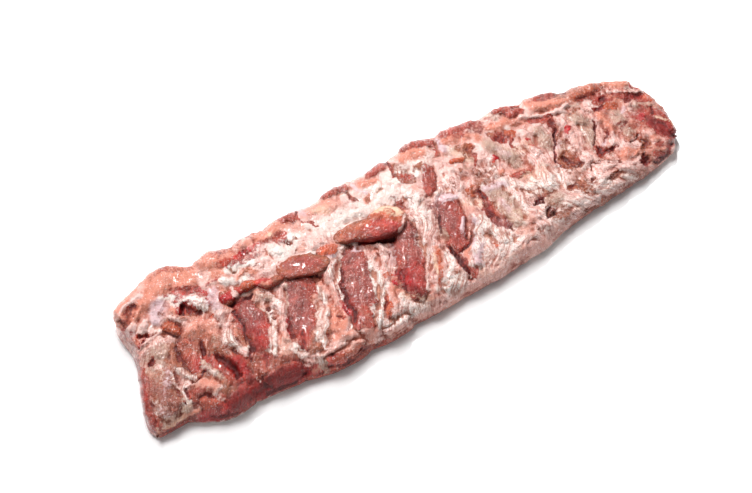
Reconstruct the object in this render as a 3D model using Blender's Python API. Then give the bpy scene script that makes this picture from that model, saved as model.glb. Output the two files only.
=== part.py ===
"""A raw rack of pork spareribs, lying flat with its rib side up.

The rack is one piece of meat: a slab whose upper side shows thirteen slanting ribs with muscle sunk
between them, a humped strip of cartilage and fat along the back edge, meat bulging out between the rib
ends along the front edge, and flaps of trimmed muscle lying along the middle.

X runs along the rack, from its near, square-cut end to its far, rounded end. Y runs across it, from the
front edge to the humped back edge. Z is up, and the table is at zero. Sizes are in millimetres until the
mesh is made. Forms of the upper side are placed as they are seen by someone who stands at the front,
looking down at 50 degrees: their places are read on the level plane READ_PLANE, along the line of sight.
"""

import math

import bmesh
import bpy
import numpy as np

MM = 0.001

# Outline of the slab, seen from above: the ends as (share of the width, x), the long edges as (x, y)
NEAR_END = (
    (0.0, -203.0), (0.1, -204.5), (0.3, -199.5), (0.5, -191.5), (0.65, -187.5), (0.9, -186.5),
    (1.0, -182.0),
)
FAR_END = (
    (0.0, 219.0), (0.1, 231.0), (0.3, 238.0), (0.55, 243.0), (0.8, 240.0), (0.92, 232.0), (1.0, 217.0),
)
FRONT_EDGE = (
    (-205.0, -37.0), (-182.0, -39.0), (-162.0, -49.0), (-125.0, -50.0), (-80.0, -58.0), (-40.0, -58.0),
    (20.0, -56.0), (70.0, -55.0), (104.0, -51.5), (125.0, -47.0), (160.0, -43.0), (208.0, -38.0),
    (240.0, -32.0),
)
BACK_EDGE = (
    (-205.0, 53.0), (-184.0, 60.0), (-165.0, 68.0), (-140.0, 74.0), (-125.0, 67.0), (-110.0, 66.5),
    (-80.0, 65.0), (-48.0, 67.5), (-20.0, 67.0), (10.0, 69.0), (40.0, 71.0), (62.0, 74.0), (95.0, 71.0),
    (130.0, 68.0), (165.0, 62.5), (190.0, 57.0), (208.0, 51.0), (225.0, 44.5), (245.0, 36.0),
)
BACK_NOTCHES = (-205.0, -124.0, -94.0, -69.0, -30.0, 8.0, 78.0, 115.0, 148.0, 180.0, 240.0)
BACK_NOTCH_DEPTH = 4.0
FRONT_NOTCHES = (-215.0, -181.0, -138.0, -104.0, -55.0, -22.0, 110.0, 250.0)
FRONT_NOTCH_DEPTH = 3.0

# Thickness: across the rack as (share of the width, height), and how it changes as (x, factor)
CROWN = (
    (0.0, 18.0), (0.1, 21.0), (0.25, 22.0), (0.5, 22.5), (0.6, 24.5), (0.72, 28.5), (0.86, 30.5),
    (1.0, 27.0),
)
THICKNESS_ALONG = (
    (-202.0, 0.88), (-170.0, 1.0), (-60.0, 1.02), (60.0, 1.0), (140.0, 0.92), (200.0, 0.82),
    (237.0, 0.7),
)

# How far in from each side the edge rounds over, and the height of the widest point
ROUND_FRONT = 9.0
ROUND_BACK = 13.0
ROUND_NEAR = 5.0
ROUND_FAR = 11.0
SEAM_HEIGHT = 7.5

# The viewer's plane of reading, and how far sight moves a point for each millimetre of height
READ_PLANE = 25.0
SIGHT_X = 0.475
SIGHT_Y = 0.691

# Ribs: x of the head at HEAD_Y, x of the foot at FOOT_Y, and height of the ridge
HEAD_Y = 20.0
FOOT_Y = -50.0
RIBS = (
    (-172.0, -203.0, 2.2), (-141.0, -163.0, 2.8), (-125.0, -141.0, 4.0), (-88.0, -117.0, 4.6),
    (-44.0, -79.0, 4.8), (-6.0, -39.0, 4.8), (32.0, 3.0, 5.0), (68.0, 50.0, 4.8), (97.0, 84.0, 4.6),
    (129.0, 107.0, 4.6), (160.0, 133.0, 4.6), (190.0, 163.0, 4.2), (216.0, 190.0, 3.0),
)
RIB_HALF_WIDTH = 8.5
RIB_FADE = 14.0

# Lumps and hollows of the upper side: x, y, half length, half width, turn in degrees, height
LUMPS = (
    (-150.0, 52.0, 26.0, 13.0, 10.0, 3.5),
    (-168.0, 40.0, 14.0, 8.0, 50.0, 2.5),
    (-107.0, 50.0, 15.0, 10.0, -18.0, 3.0),
    (-80.0, 50.0, 12.0, 9.0, 0.0, 2.0),
    (-50.0, 50.0, 17.0, 10.0, 0.0, 2.4),
    (-12.0, 51.0, 16.0, 10.0, 0.0, 2.6),
    (42.0, 53.0, 28.0, 10.0, 3.0, 2.6),
    (96.0, 52.0, 15.0, 9.0, -5.0, 2.4),
    (131.0, 48.0, 14.0, 8.0, -15.0, 2.2),
    (164.0, 42.0, 15.0, 8.0, -20.0, 2.6),
    (196.0, 35.0, 16.0, 8.0, -25.0, 2.6),
    (-60.0, 33.0, 14.0, 6.0, 0.0, 1.6),
    (-98.0, 35.0, 12.0, 5.0, -8.0, 2.0),
    (-136.0, 26.0, 7.0, 8.0, 0.0, 3.5),
    (-147.0, 27.0, 3.4, 6.5, -35.0, -6.0),
    (-178.0, 24.0, 5.0, 3.0, 20.0, -4.5),
    (-181.0, 30.0, 5.0, 4.0, 60.0, 2.5),
    (-163.0, 19.0, 7.0, 6.0, -20.0, 2.0),
    (-183.0, 3.0, 3.0, 4.0, 40.0, -3.5),
    (-192.0, -12.0, 20.0, 7.0, 66.0, 1.5),
    (-168.0, -32.0, 8.0, 7.5, 0.0, 3.5),
    (-173.0, -20.0, 10.0, 2.5, 62.0, 2.4),
    (-176.0, -28.0, 5.0, 2.2, 80.0, -3.5),
    (-152.0, -6.0, 3.5, 7.0, -20.0, -3.0),
    (-144.0, -26.0, 15.0, 4.5, 72.0, -5.5),
    (-157.0, -43.0, 9.0, 5.0, 10.0, 2.0),
    (-127.0, -33.0, 6.0, 4.5, 40.0, -3.0),
    (-21.0, -32.0, 3.6, 3.2, 0.0, 3.6),
    (-35.0, -46.0, 10.0, 2.6, 62.0, -2.0),
    (12.0, -33.0, 9.0, 2.4, 62.0, -1.8),
    (24.0, -43.0, 12.0, 3.5, 72.0, -3.5),
    (67.0, -18.0, 14.0, 4.0, 80.0, -3.5),
    (103.0, -27.0, 8.0, 5.0, 10.0, -4.0),
    (102.0, -40.0, 6.0, 4.5, 45.0, -4.5),
    (101.0, -12.0, 12.0, 5.0, -40.0, 2.0),
    (107.0, -1.0, 9.0, 3.5, -5.0, 1.6),
    (140.0, -12.0, 7.0, 5.0, 20.0, -3.5),
    (168.0, -16.0, 8.0, 4.0, -10.0, -3.5),
    (161.0, -26.0, 14.0, 3.0, -22.0, 2.4),
    (150.0, -42.0, 10.0, 5.0, 15.0, 2.0),
    (159.0, -38.0, 8.0, 3.5, 20.0, -2.2),
    (130.0, -32.0, 6.0, 3.0, 10.0, -2.4),
    (186.0, -38.0, 7.0, 6.0, 30.0, -3.5),
    (193.0, -19.0, 6.0, 1.8, 8.0, -4.0),
    (193.0, -28.0, 7.0, 3.5, 0.0, -2.6),
    (206.0, -22.0, 6.0, 8.0, 10.0, 3.0),
    (218.0, -26.0, 6.0, 9.0, 10.0, -2.0),
    (199.0, 24.0, 6.0, 3.5, 0.0, -2.4),
    (50.0, 32.0, 7.0, 11.0, -30.0, -2.0),
    (87.0, 36.0, 5.0, 9.0, -25.0, -2.2),
    (113.0, 35.0, 8.0, 5.0, -15.0, -2.4),
    (147.0, 32.0, 9.0, 4.0, -30.0, -2.4),
    (176.0, 28.0, 7.0, 3.5, -20.0, -1.8),
    (16.0, 26.0, 3.5, 8.0, -15.0, -1.8),
    (108.0, 20.0, 7.0, 13.0, -8.0, -1.6),
)

# Flaps of muscle that lie on the upper side: stations of x, y, centre height, half width, half thickness
FLAPS = {
    "flap_near": (
        (-125.0, 18.0, 24.0, 2.5, 2.0),
        (-118.0, 20.0, 26.0, 6.0, 4.6),
        (-108.0, 20.0, 26.5, 5.6, 4.6),
        (-99.0, 19.0, 26.0, 5.0, 3.8),
        (-91.0, 14.5, 25.5, 5.6, 4.0),
        (-82.0, 13.0, 25.0, 4.6, 3.4),
        (-74.0, 13.5, 23.5, 2.4, 2.0),
    ),
    "flap_middle": (
        (-81.0, 20.0, 24.5, 2.4, 2.0),
        (-74.0, 19.5, 26.5, 6.5, 3.8),
        (-65.0, 16.5, 27.0, 9.0, 4.4),
        (-56.0, 12.5, 26.5, 7.6, 4.2),
        (-48.0, 13.0, 25.5, 5.0, 3.4),
        (-40.0, 15.0, 24.0, 3.0, 2.4),
    ),
    "flap_far": (
        (-37.0, 16.0, 24.5, 2.6, 2.0),
        (-29.0, 18.5, 26.5, 7.6, 4.0),
        (-18.0, 17.5, 27.5, 8.6, 4.8),
        (-8.0, 14.0, 27.5, 9.6, 5.6),
        (2.0, 13.0, 27.5, 10.4, 5.8),
        (11.0, 17.5, 27.0, 8.4, 4.6),
        (18.0, 20.5, 25.0, 3.6, 2.4),
    ),
}

# Fineness of the mesh
GRID_ALONG = 110
GRID_ACROSS = 33
ROUND_STEPS = 4
FLAP_RINGS = 18
FLAP_SIDES = 10

# Unevenness of the upper side and of the walls
ROUGH_RELIEF = 0.9
ROUGH_SIZE = 9.0
WALL_RELIEF = 1.1
WALL_SIZE = 11.0

RACK_COLOUR = (0.52, 0.2, 0.17, 1.0)


def smooth_through(points, at):
    """The height, at each place in `at`, of a smooth curve through hand-set (place, height) points."""
    places = np.array([p[0] for p in points])
    heights = np.array([p[1] for p in points])
    slopes = np.gradient(heights, places)
    at = np.clip(at, places[0], places[-1])
    k = np.clip(np.searchsorted(places, at) - 1, 0, len(places) - 2)
    span = places[k + 1] - places[k]
    t = (at - places[k]) / span
    return (heights[k] * (1 + 2 * t) * (1 - t) ** 2 + slopes[k] * span * t * (1 - t) ** 2
            + heights[k + 1] * t * t * (3 - 2 * t) + slopes[k + 1] * span * t * t * (t - 1))


def scallops(notches, at):
    """0 at each notch and 1 over most of the way between two of them."""
    places = np.array(notches)
    k = np.clip(np.searchsorted(places, at) - 1, 0, len(places) - 2)
    t = np.clip((at - places[k]) / (places[k + 1] - places[k]), 0.0, 1.0)
    return np.sin(math.pi * t) ** 0.45


def soft_noise(x, y, z, size, seed):
    """Smooth noise from -1 to 1 with features about `size` across."""
    cell = np.stack([np.asarray(x) / size, np.asarray(y) / size, np.asarray(z) / size], -1)
    base = np.floor(cell)
    part = cell - base
    ease = part * part * (3 - 2 * part)
    total = np.zeros(cell.shape[:-1])
    for corner in np.ndindex(2, 2, 2):
        at = base + corner
        value = np.sin(at @ np.array([127.1, 311.7, 74.7]) + seed * 19.19) * 43758.5453
        value = 2 * (value - np.floor(value)) - 1
        weight = np.prod(np.where(np.array(corner) == 1, ease, 1 - ease), axis=-1)
        total += value * weight
    return total


def rounding(distance, radius):
    """0 at an edge, rising on a quarter circle to 1 at `radius` from it."""
    t = np.clip(distance / radius, 0.0, 1.0)
    return np.sqrt(1 - (1 - t) ** 2)


def front_edge(x):
    """Y of the front edge, scalloped where meat bulges out between rib ends."""
    return smooth_through(FRONT_EDGE, x) + FRONT_NOTCH_DEPTH * (1 - scallops(FRONT_NOTCHES, x))


def back_edge(x):
    """Y of the back edge, scalloped into one hump for each joint of the backbone."""
    return smooth_through(BACK_EDGE, x) - BACK_NOTCH_DEPTH * (1 - scallops(BACK_NOTCHES, x))


def bump(x, y, lump):
    """The height that one lump or hollow adds at each point."""
    cx, cy, half_length, half_width, turn, height = lump
    c, s = math.cos(math.radians(turn)), math.sin(math.radians(turn))
    along = ((x - cx) * c + (y - cy) * s) / half_length
    across = ((y - cy) * c - (x - cx) * s) / half_width
    return height * np.exp(-(along**2 + across**2) ** 1.3)


def rib_relief(x, y):
    """Ridges of the ribs, which stand over the muscle between them and fade out at both ends."""
    total = np.zeros_like(x)
    down = (HEAD_Y - y) / (HEAD_Y - FOOT_Y)
    fade = rounding(y - (FOOT_Y - RIB_FADE * 0.6), RIB_FADE) * rounding(HEAD_Y + RIB_FADE * 1.2 - y, RIB_FADE)
    for head, foot, rise in RIBS:
        middle = head + (foot - head) * down
        total += rise * np.exp(-np.abs((x - middle) / RIB_HALF_WIDTH) ** 2.6)
    return total * fade


def upper_side(x, y, v):
    """Height of the upper side before its edges round over."""
    crown = smooth_through(CROWN, v) * smooth_through(THICKNESS_ALONG, x)
    seen_x = x + (crown - READ_PLANE) * SIGHT_X
    seen_y = y + (crown - READ_PLANE) * SIGHT_Y
    height = crown + rib_relief(seen_x, seen_y) - 2.5
    for lump in LUMPS:
        height += bump(seen_x, seen_y, lump)
    height += ROUGH_RELIEF * soft_noise(seen_x, seen_y, 0 * seen_x, ROUGH_SIZE, 3)
    return height


def grid_places():
    """Plan places of the slab's grid: x, y, share of the width, and the two edge roundings."""
    turn = np.linspace(0.0, math.pi / 2, ROUND_STEPS + 1)[:-1]
    bend = 1 - np.cos(turn)
    inner_v = np.linspace(0.0, 1.0, GRID_ACROSS - 2 * ROUND_STEPS)
    inner_u = np.linspace(0.0, 1.0, GRID_ALONG - 2 * ROUND_STEPS)
    nominal_width = 118.0
    start = ROUND_FRONT / nominal_width
    stop = 1 - ROUND_BACK / nominal_width
    v = np.concatenate([bend * start, start + inner_v * (stop - start), 1 - bend[::-1] * (1 - stop)])
    near = smooth_through(NEAR_END, v)
    far = smooth_through(FAR_END, v)
    x = np.concatenate([
        near[None] + bend[:, None] * ROUND_NEAR,
        near[None] + ROUND_NEAR + inner_u[:, None] * (far - near - ROUND_NEAR - ROUND_FAR)[None],
        far[None] - bend[::-1, None] * ROUND_FAR,
    ])
    front, back = front_edge(x), back_edge(x)
    y = front + v[None] * (back - front)
    side = rounding(y - front, ROUND_FRONT) * rounding(back - y, ROUND_BACK)
    end = rounding(x - near[None], ROUND_NEAR) * rounding(far[None] - x, ROUND_FAR)
    return x, y, np.broadcast_to(v, x.shape), side * end


def slab_mesh():
    """The closed slab: an upper and an under sheet that share their rim."""
    x, y, v, edge = grid_places()
    seam = SEAM_HEIGHT + 0 * x
    top = seam + (upper_side(x, y, v) - seam) * edge
    under = seam * (1 - edge ** 0.7)
    rows, columns = x.shape
    rim = np.zeros(x.shape, bool)
    rim[0] = rim[-1] = True
    rim[:, 0] = rim[:, -1] = True
    upper = np.stack([x, y, top], -1).reshape(-1, 3)
    lower = np.stack([x, y, under], -1).reshape(-1, 3)
    number = np.arange(rows * columns).reshape(rows, columns)
    inner = ~rim.reshape(-1)
    lower_number = number.copy().reshape(-1)
    lower_number[inner] = rows * columns + np.arange(inner.sum())
    lower_number = lower_number.reshape(rows, columns)
    points = np.concatenate([upper, lower[inner]])
    faces = []
    for i in range(rows - 1):
        for j in range(columns - 1):
            corners = ((i, j), (i + 1, j), (i + 1, j + 1), (i, j + 1))
            faces.append(tuple(number[c] for c in corners))
            faces.append(tuple(lower_number[c] for c in reversed(corners)))
    return roughened(points), faces


def roughened(points):
    """The points with the walls pushed in and out a little, and the part that lies on the table left flat."""
    x, y, z = points.T
    lift = np.clip(z / 4.0, 0.0, 1.0) * np.clip((24.0 - z) / 10.0, 0.0, 1.0)
    centre_y = (front_edge(x) + back_edge(x)) / 2
    outward = np.clip((y - centre_y) / 40.0, -1.0, 1.0) ** 3
    push = WALL_RELIEF * soft_noise(x, y, z, WALL_SIZE, 21) * lift
    return np.stack([x, y + push * outward * 1.6, z], -1)


def flap_mesh(stations):
    """A tapering tongue of muscle through its stations, with an oval section and closed ends."""
    stations = np.array(stations)
    lean = stations[:, 2] - READ_PLANE
    stations[:, 0] -= lean * SIGHT_X
    stations[:, 1] -= lean * SIGHT_Y
    place = np.arange(len(stations), dtype=float)
    at = np.linspace(0.0, len(stations) - 1.0, FLAP_RINGS)
    x, y, z, wide, thick = (smooth_through(list(zip(place, column)), at) for column in stations.T)
    heading = np.arctan2(np.gradient(y), np.gradient(x))
    points, faces = [], []
    for k in range(FLAP_RINGS):
        for s in range(FLAP_SIDES):
            turn = 2 * math.pi * s / FLAP_SIDES
            across = wide[k] * math.cos(turn)
            points.append((x[k] - across * math.sin(heading[k]), y[k] + across * math.cos(heading[k]),
                           z[k] + thick[k] * math.sin(turn)))
    for k in range(FLAP_RINGS - 1):
        for s in range(FLAP_SIDES):
            a, b = k * FLAP_SIDES + s, k * FLAP_SIDES + (s + 1) % FLAP_SIDES
            faces.append((a, b, b + FLAP_SIDES, a + FLAP_SIDES))
    faces.append(tuple(range(FLAP_SIDES))[::-1])
    faces.append(tuple((FLAP_RINGS - 1) * FLAP_SIDES + s for s in range(FLAP_SIDES)))
    return np.array(points), faces


def add_object(name, points, faces, shift):
    """A mesh object in metres, its faces turned outwards."""
    mesh = bpy.data.meshes.new(name)
    mesh.from_pydata([tuple(p) for p in (points - shift) * MM], [], [tuple(int(i) for i in f) for f in faces])
    form = bmesh.new()
    form.from_mesh(mesh)
    bmesh.ops.recalc_face_normals(form, faces=form.faces)
    form.to_mesh(mesh)
    form.free()
    made = bpy.data.objects.new(name, mesh)
    bpy.context.scene.collection.objects.link(made)
    return made


def raw_meat():
    """One plain material for the whole rack."""
    material = bpy.data.materials.new("raw_pork")
    material.use_nodes = True
    shader = material.node_tree.nodes["Principled BSDF"]
    shader.inputs["Base Color"].default_value = RACK_COLOUR
    shader.inputs["Roughness"].default_value = 0.35
    shader.inputs["Metallic"].default_value = 0.0
    return material


def apply_modifiers(made):
    """Replaces the object's mesh by the one that its modifiers give."""
    graph = bpy.context.evaluated_depsgraph_get()
    finished = bpy.data.meshes.new_from_object(made.evaluated_get(graph))
    made.modifiers.clear()
    made.data = finished


def join_flaps(rack, shift):
    """Joins the muscle flaps to the rack by one Boolean union."""
    flaps = bpy.data.collections.new("flaps")
    bpy.context.scene.collection.children.link(flaps)
    for name, stations in FLAPS.items():
        flap = add_object(name, *flap_mesh(stations), shift)
        bpy.context.scene.collection.objects.unlink(flap)
        flaps.objects.link(flap)
    union = rack.modifiers.new("flaps", "BOOLEAN")
    union.operation = "UNION"
    union.operand_type = "COLLECTION"
    union.collection = flaps
    apply_modifiers(rack)
    for flap in list(flaps.objects):
        bpy.data.objects.remove(flap)
    bpy.data.collections.remove(flaps)


def build():
    """Clears the scene and builds the rack."""
    for old in list(bpy.data.objects):
        bpy.data.objects.remove(old)
    points, faces = slab_mesh()
    low, high = points.min(0), points.max(0)
    shift = np.array([(low[0] + high[0]) / 2, (low[1] + high[1]) / 2, low[2]])
    rack = add_object("rib_rack", points, faces, shift)
    join_flaps(rack, shift)
    rack.data.materials.clear()
    rack.data.materials.append(raw_meat())
    rack.data.shade_smooth()


build()
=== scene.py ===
"""The looks of a raw rack of pork spareribs, lying flat with its bone side up on a pale studio floor.

The rack is one dense closed skin of meat with three loose flaps of muscle lying on it. Its forms (lobes of
muscle between the ribs, pale rib bands, fat seams, hollows, creases and blood spots) are strokes laid along
the rack. Each stroke raises or digs the skin and lays one kind of tissue on it, so colour and relief agree.
Some strokes lay painted light: dark red as painted shade in hollows, under the flaps and on faces turned from
the light, and a few pale spots as painted highlights. The finish paints more shade where the skin is sunk and
in thin creases, and paints glints as near-white flecks.

Plan places are in millimetres from a mark at the middle of the rack. Forms are placed as they are read on
the level plane READ_PLANE by someone who stands at the front and looks down at 50 degrees.
"""

import logging
import math
from dataclasses import dataclass, field
from enum import Enum

import bpy
import numpy as np
from mathutils import Matrix, Vector


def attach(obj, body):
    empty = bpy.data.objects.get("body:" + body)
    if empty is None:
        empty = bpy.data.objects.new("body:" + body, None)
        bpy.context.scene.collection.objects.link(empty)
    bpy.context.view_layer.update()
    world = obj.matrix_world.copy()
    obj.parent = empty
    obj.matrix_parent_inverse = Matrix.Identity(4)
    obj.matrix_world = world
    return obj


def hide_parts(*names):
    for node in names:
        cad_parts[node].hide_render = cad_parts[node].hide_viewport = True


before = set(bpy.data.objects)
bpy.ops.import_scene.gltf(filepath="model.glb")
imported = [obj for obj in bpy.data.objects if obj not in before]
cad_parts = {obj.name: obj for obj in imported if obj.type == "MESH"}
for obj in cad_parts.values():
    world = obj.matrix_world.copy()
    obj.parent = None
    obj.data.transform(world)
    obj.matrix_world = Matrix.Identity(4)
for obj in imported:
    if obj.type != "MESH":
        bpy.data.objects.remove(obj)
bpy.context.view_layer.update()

MM = 0.001
BODY = "root"
NODE = "rib_rack"
READ_PLANE = 25.0
MARK = np.array([19.383, 8.024, 0.0])
log = logging.getLogger("sparerib_rack")

Points = np.ndarray
Triples = tuple[tuple[float, float, float], ...]


class Tissue(Enum):
    """What the rack's surface is made of: a colour as seen, and whether it belongs to the fatty kinds."""

    LEAN = ((165, 70, 57), False)
    # Dark red: the meat's own dark red and blood, and painted shade in hollows, creases, under the flaps and
    # on faces turned from the light
    DARK_MEAT_AND_SHADE = ((132, 16, 12), False)
    PLUM = ((114, 34, 50), False)
    BLOOD = ((192, 22, 34), False)
    ORANGE = ((192, 86, 54), False)
    BROWN = ((160, 90, 66), False)
    DUSK = ((146, 84, 80), False)
    ROSE = ((208, 136, 118), True)
    SALMON = ((216, 136, 112), True)
    PINK = ((246, 208, 199), True)
    CREAM = ((254, 244, 236), True)
    TALLOW = ((240, 202, 172), True)
    SILVER = ((220, 190, 194), True)
    OLIVE = ((196, 164, 146), True)

    @property
    def tone(self) -> np.ndarray:
        """The tissue's colour in linear light."""
        value = np.array(self.value[0]) / 255.0
        return np.where(value <= 0.04045, value / 12.92, ((value + 0.055) / 1.055) ** 2.4)

    @property
    def fatty(self) -> bool:
        """Whether the tissue is fat or membrane."""
        return self.value[1]

    @property
    def crumbly(self) -> float:
        """How lumpy the tissue is, from 0 for smooth to 1 for crumbs of fat."""
        lumpy = {"CREAM": 1.0, "PINK": 0.75, "ROSE": 0.7, "OLIVE": 0.6, "TALLOW": 0.5, "BROWN": 0.5,
                 "SILVER": 0.3}
        return lumpy.get(self.name, 0.12)

    @property
    def place(self) -> int:
        """The tissue's column in a table of tissue shares."""
        return list(Tissue).index(self)


LEAN, DARK_MEAT_AND_SHADE, PLUM, BLOOD, ORANGE, BROWN, DUSK, ROSE, SALMON, PINK, CREAM, TALLOW, SILVER, OLIVE = Tissue


@dataclass(frozen=True)
class Form:
    """A stroke of one tissue that raises or digs the skin.

    Fields: the tissue, how high it rises in millimetres (below zero it digs), its stations of x, y and
    half width, and how much of what lies under it the tissue covers.
    """

    tissue: Tissue
    rise: float
    stations: Triples
    cover: float = 1.0


def form(tissue: Tissue, rise: float, *stations: tuple[float, float, float], cover: float = 1.0) -> Form:
    """Makes a form from its stations.

    Args:
        tissue: what the stroke is made of.
        rise: height in millimetres, below zero for a hollow.
        stations: x, y and half width of each station, in plan millimetres.
        cover: share of the underlying tissue that it hides.

    Returns:
        The form.
    """
    return Form(tissue, rise, stations, cover)


def wash(tissue: Tissue, cover: float, *stations: tuple[float, float, float]) -> Form:
    """Makes a flat form that lays a share of one tissue and leaves the relief alone."""
    return Form(tissue, 0.0, stations, cover)


# Broad tints under everything else: browner at the near end, darker along the lower front edge as painted
# shade, whiter along the far front
TINT_FORMS = (
    wash(BROWN, 0.75, (-170, 6, 12), (-154, -6, 20), (-144, -30, 18)),
    wash(BROWN, 0.65, (-130, -20, 15), (-104, -34, 16), (-76, -36, 15), (-50, -40, 10)),
    wash(LEAN, 0.45, (-150, 2, 12), (-142, -20, 14), (-132, -40, 12)),
    wash(LEAN, 0.4, (-104, -10, 9), (-98, -34, 10), (-68, -20, 8), (-30, -40, 8)),
    # Painted shade on the lower front edge, which faces away from the light
    wash(LEAN, 0.85, (-190, -50, 6), (-160, -58, 9), (-120, -62, 10), (-70, -67, 9), (-20, -68, 8)),
    wash(DARK_MEAT_AND_SHADE, 0.5, (-170, -60, 5), (-130, -66, 6), (-80, -70, 5), (-30, -71, 4)),
    wash(LEAN, 0.6, (-150, 74, 6), (-112, 70, 6), (-70, 70, 6), (-30, 71, 5)),
    wash(BROWN, 0.6, (0, 72, 5), (50, 77, 5), (100, 72, 5), (160, 62, 5), (205, 50, 5)),
    wash(BROWN, 0.6, (-184, -8, 11), (-192, -28, 11), (-194, -40, 9)),
    wash(BLOOD, 0.3, (-150, 44, 7), (-130, 38, 8), (-104, 43, 8), (-88, 45, 8), (-60, 44, 6)),
    wash(PINK, 0.6, (60, -36, 14), (112, -42, 12), (152, -38, 13), (178, -40, 8)),
    wash(CREAM, 0.5, (36, -46, 9), (64, -40, 11), (120, -34, 9), (148, -36, 9)),
    wash(CREAM, 0.6, (8, -53, 6), (50, -52, 7), (80, -52, 7), (100, -50, 6)),
    wash(CREAM, 0.55, (100, -17, 7), (112, -18, 9), (124, -16, 9), (150, -20, 7)),
    wash(CREAM, 0.4, (56, -26, 7), (66, -4, 6), (94, -6, 6)),
    wash(PINK, 0.7, (-84, 32, 13), (-60, 34, 13), (-34, 36, 14), (0, 40, 14), (40, 40, 14)),
    wash(CREAM, 0.55, (-68, 32, 8), (-56, 32, 9), (-42, 34, 10), (-12, 34, 9), (20, 44, 8), (50, 50, 7)),
    wash(PINK, 0.45, (60, 30, 14), (100, 20, 14), (140, 12, 16), (176, 4, 16)),
)

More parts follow.
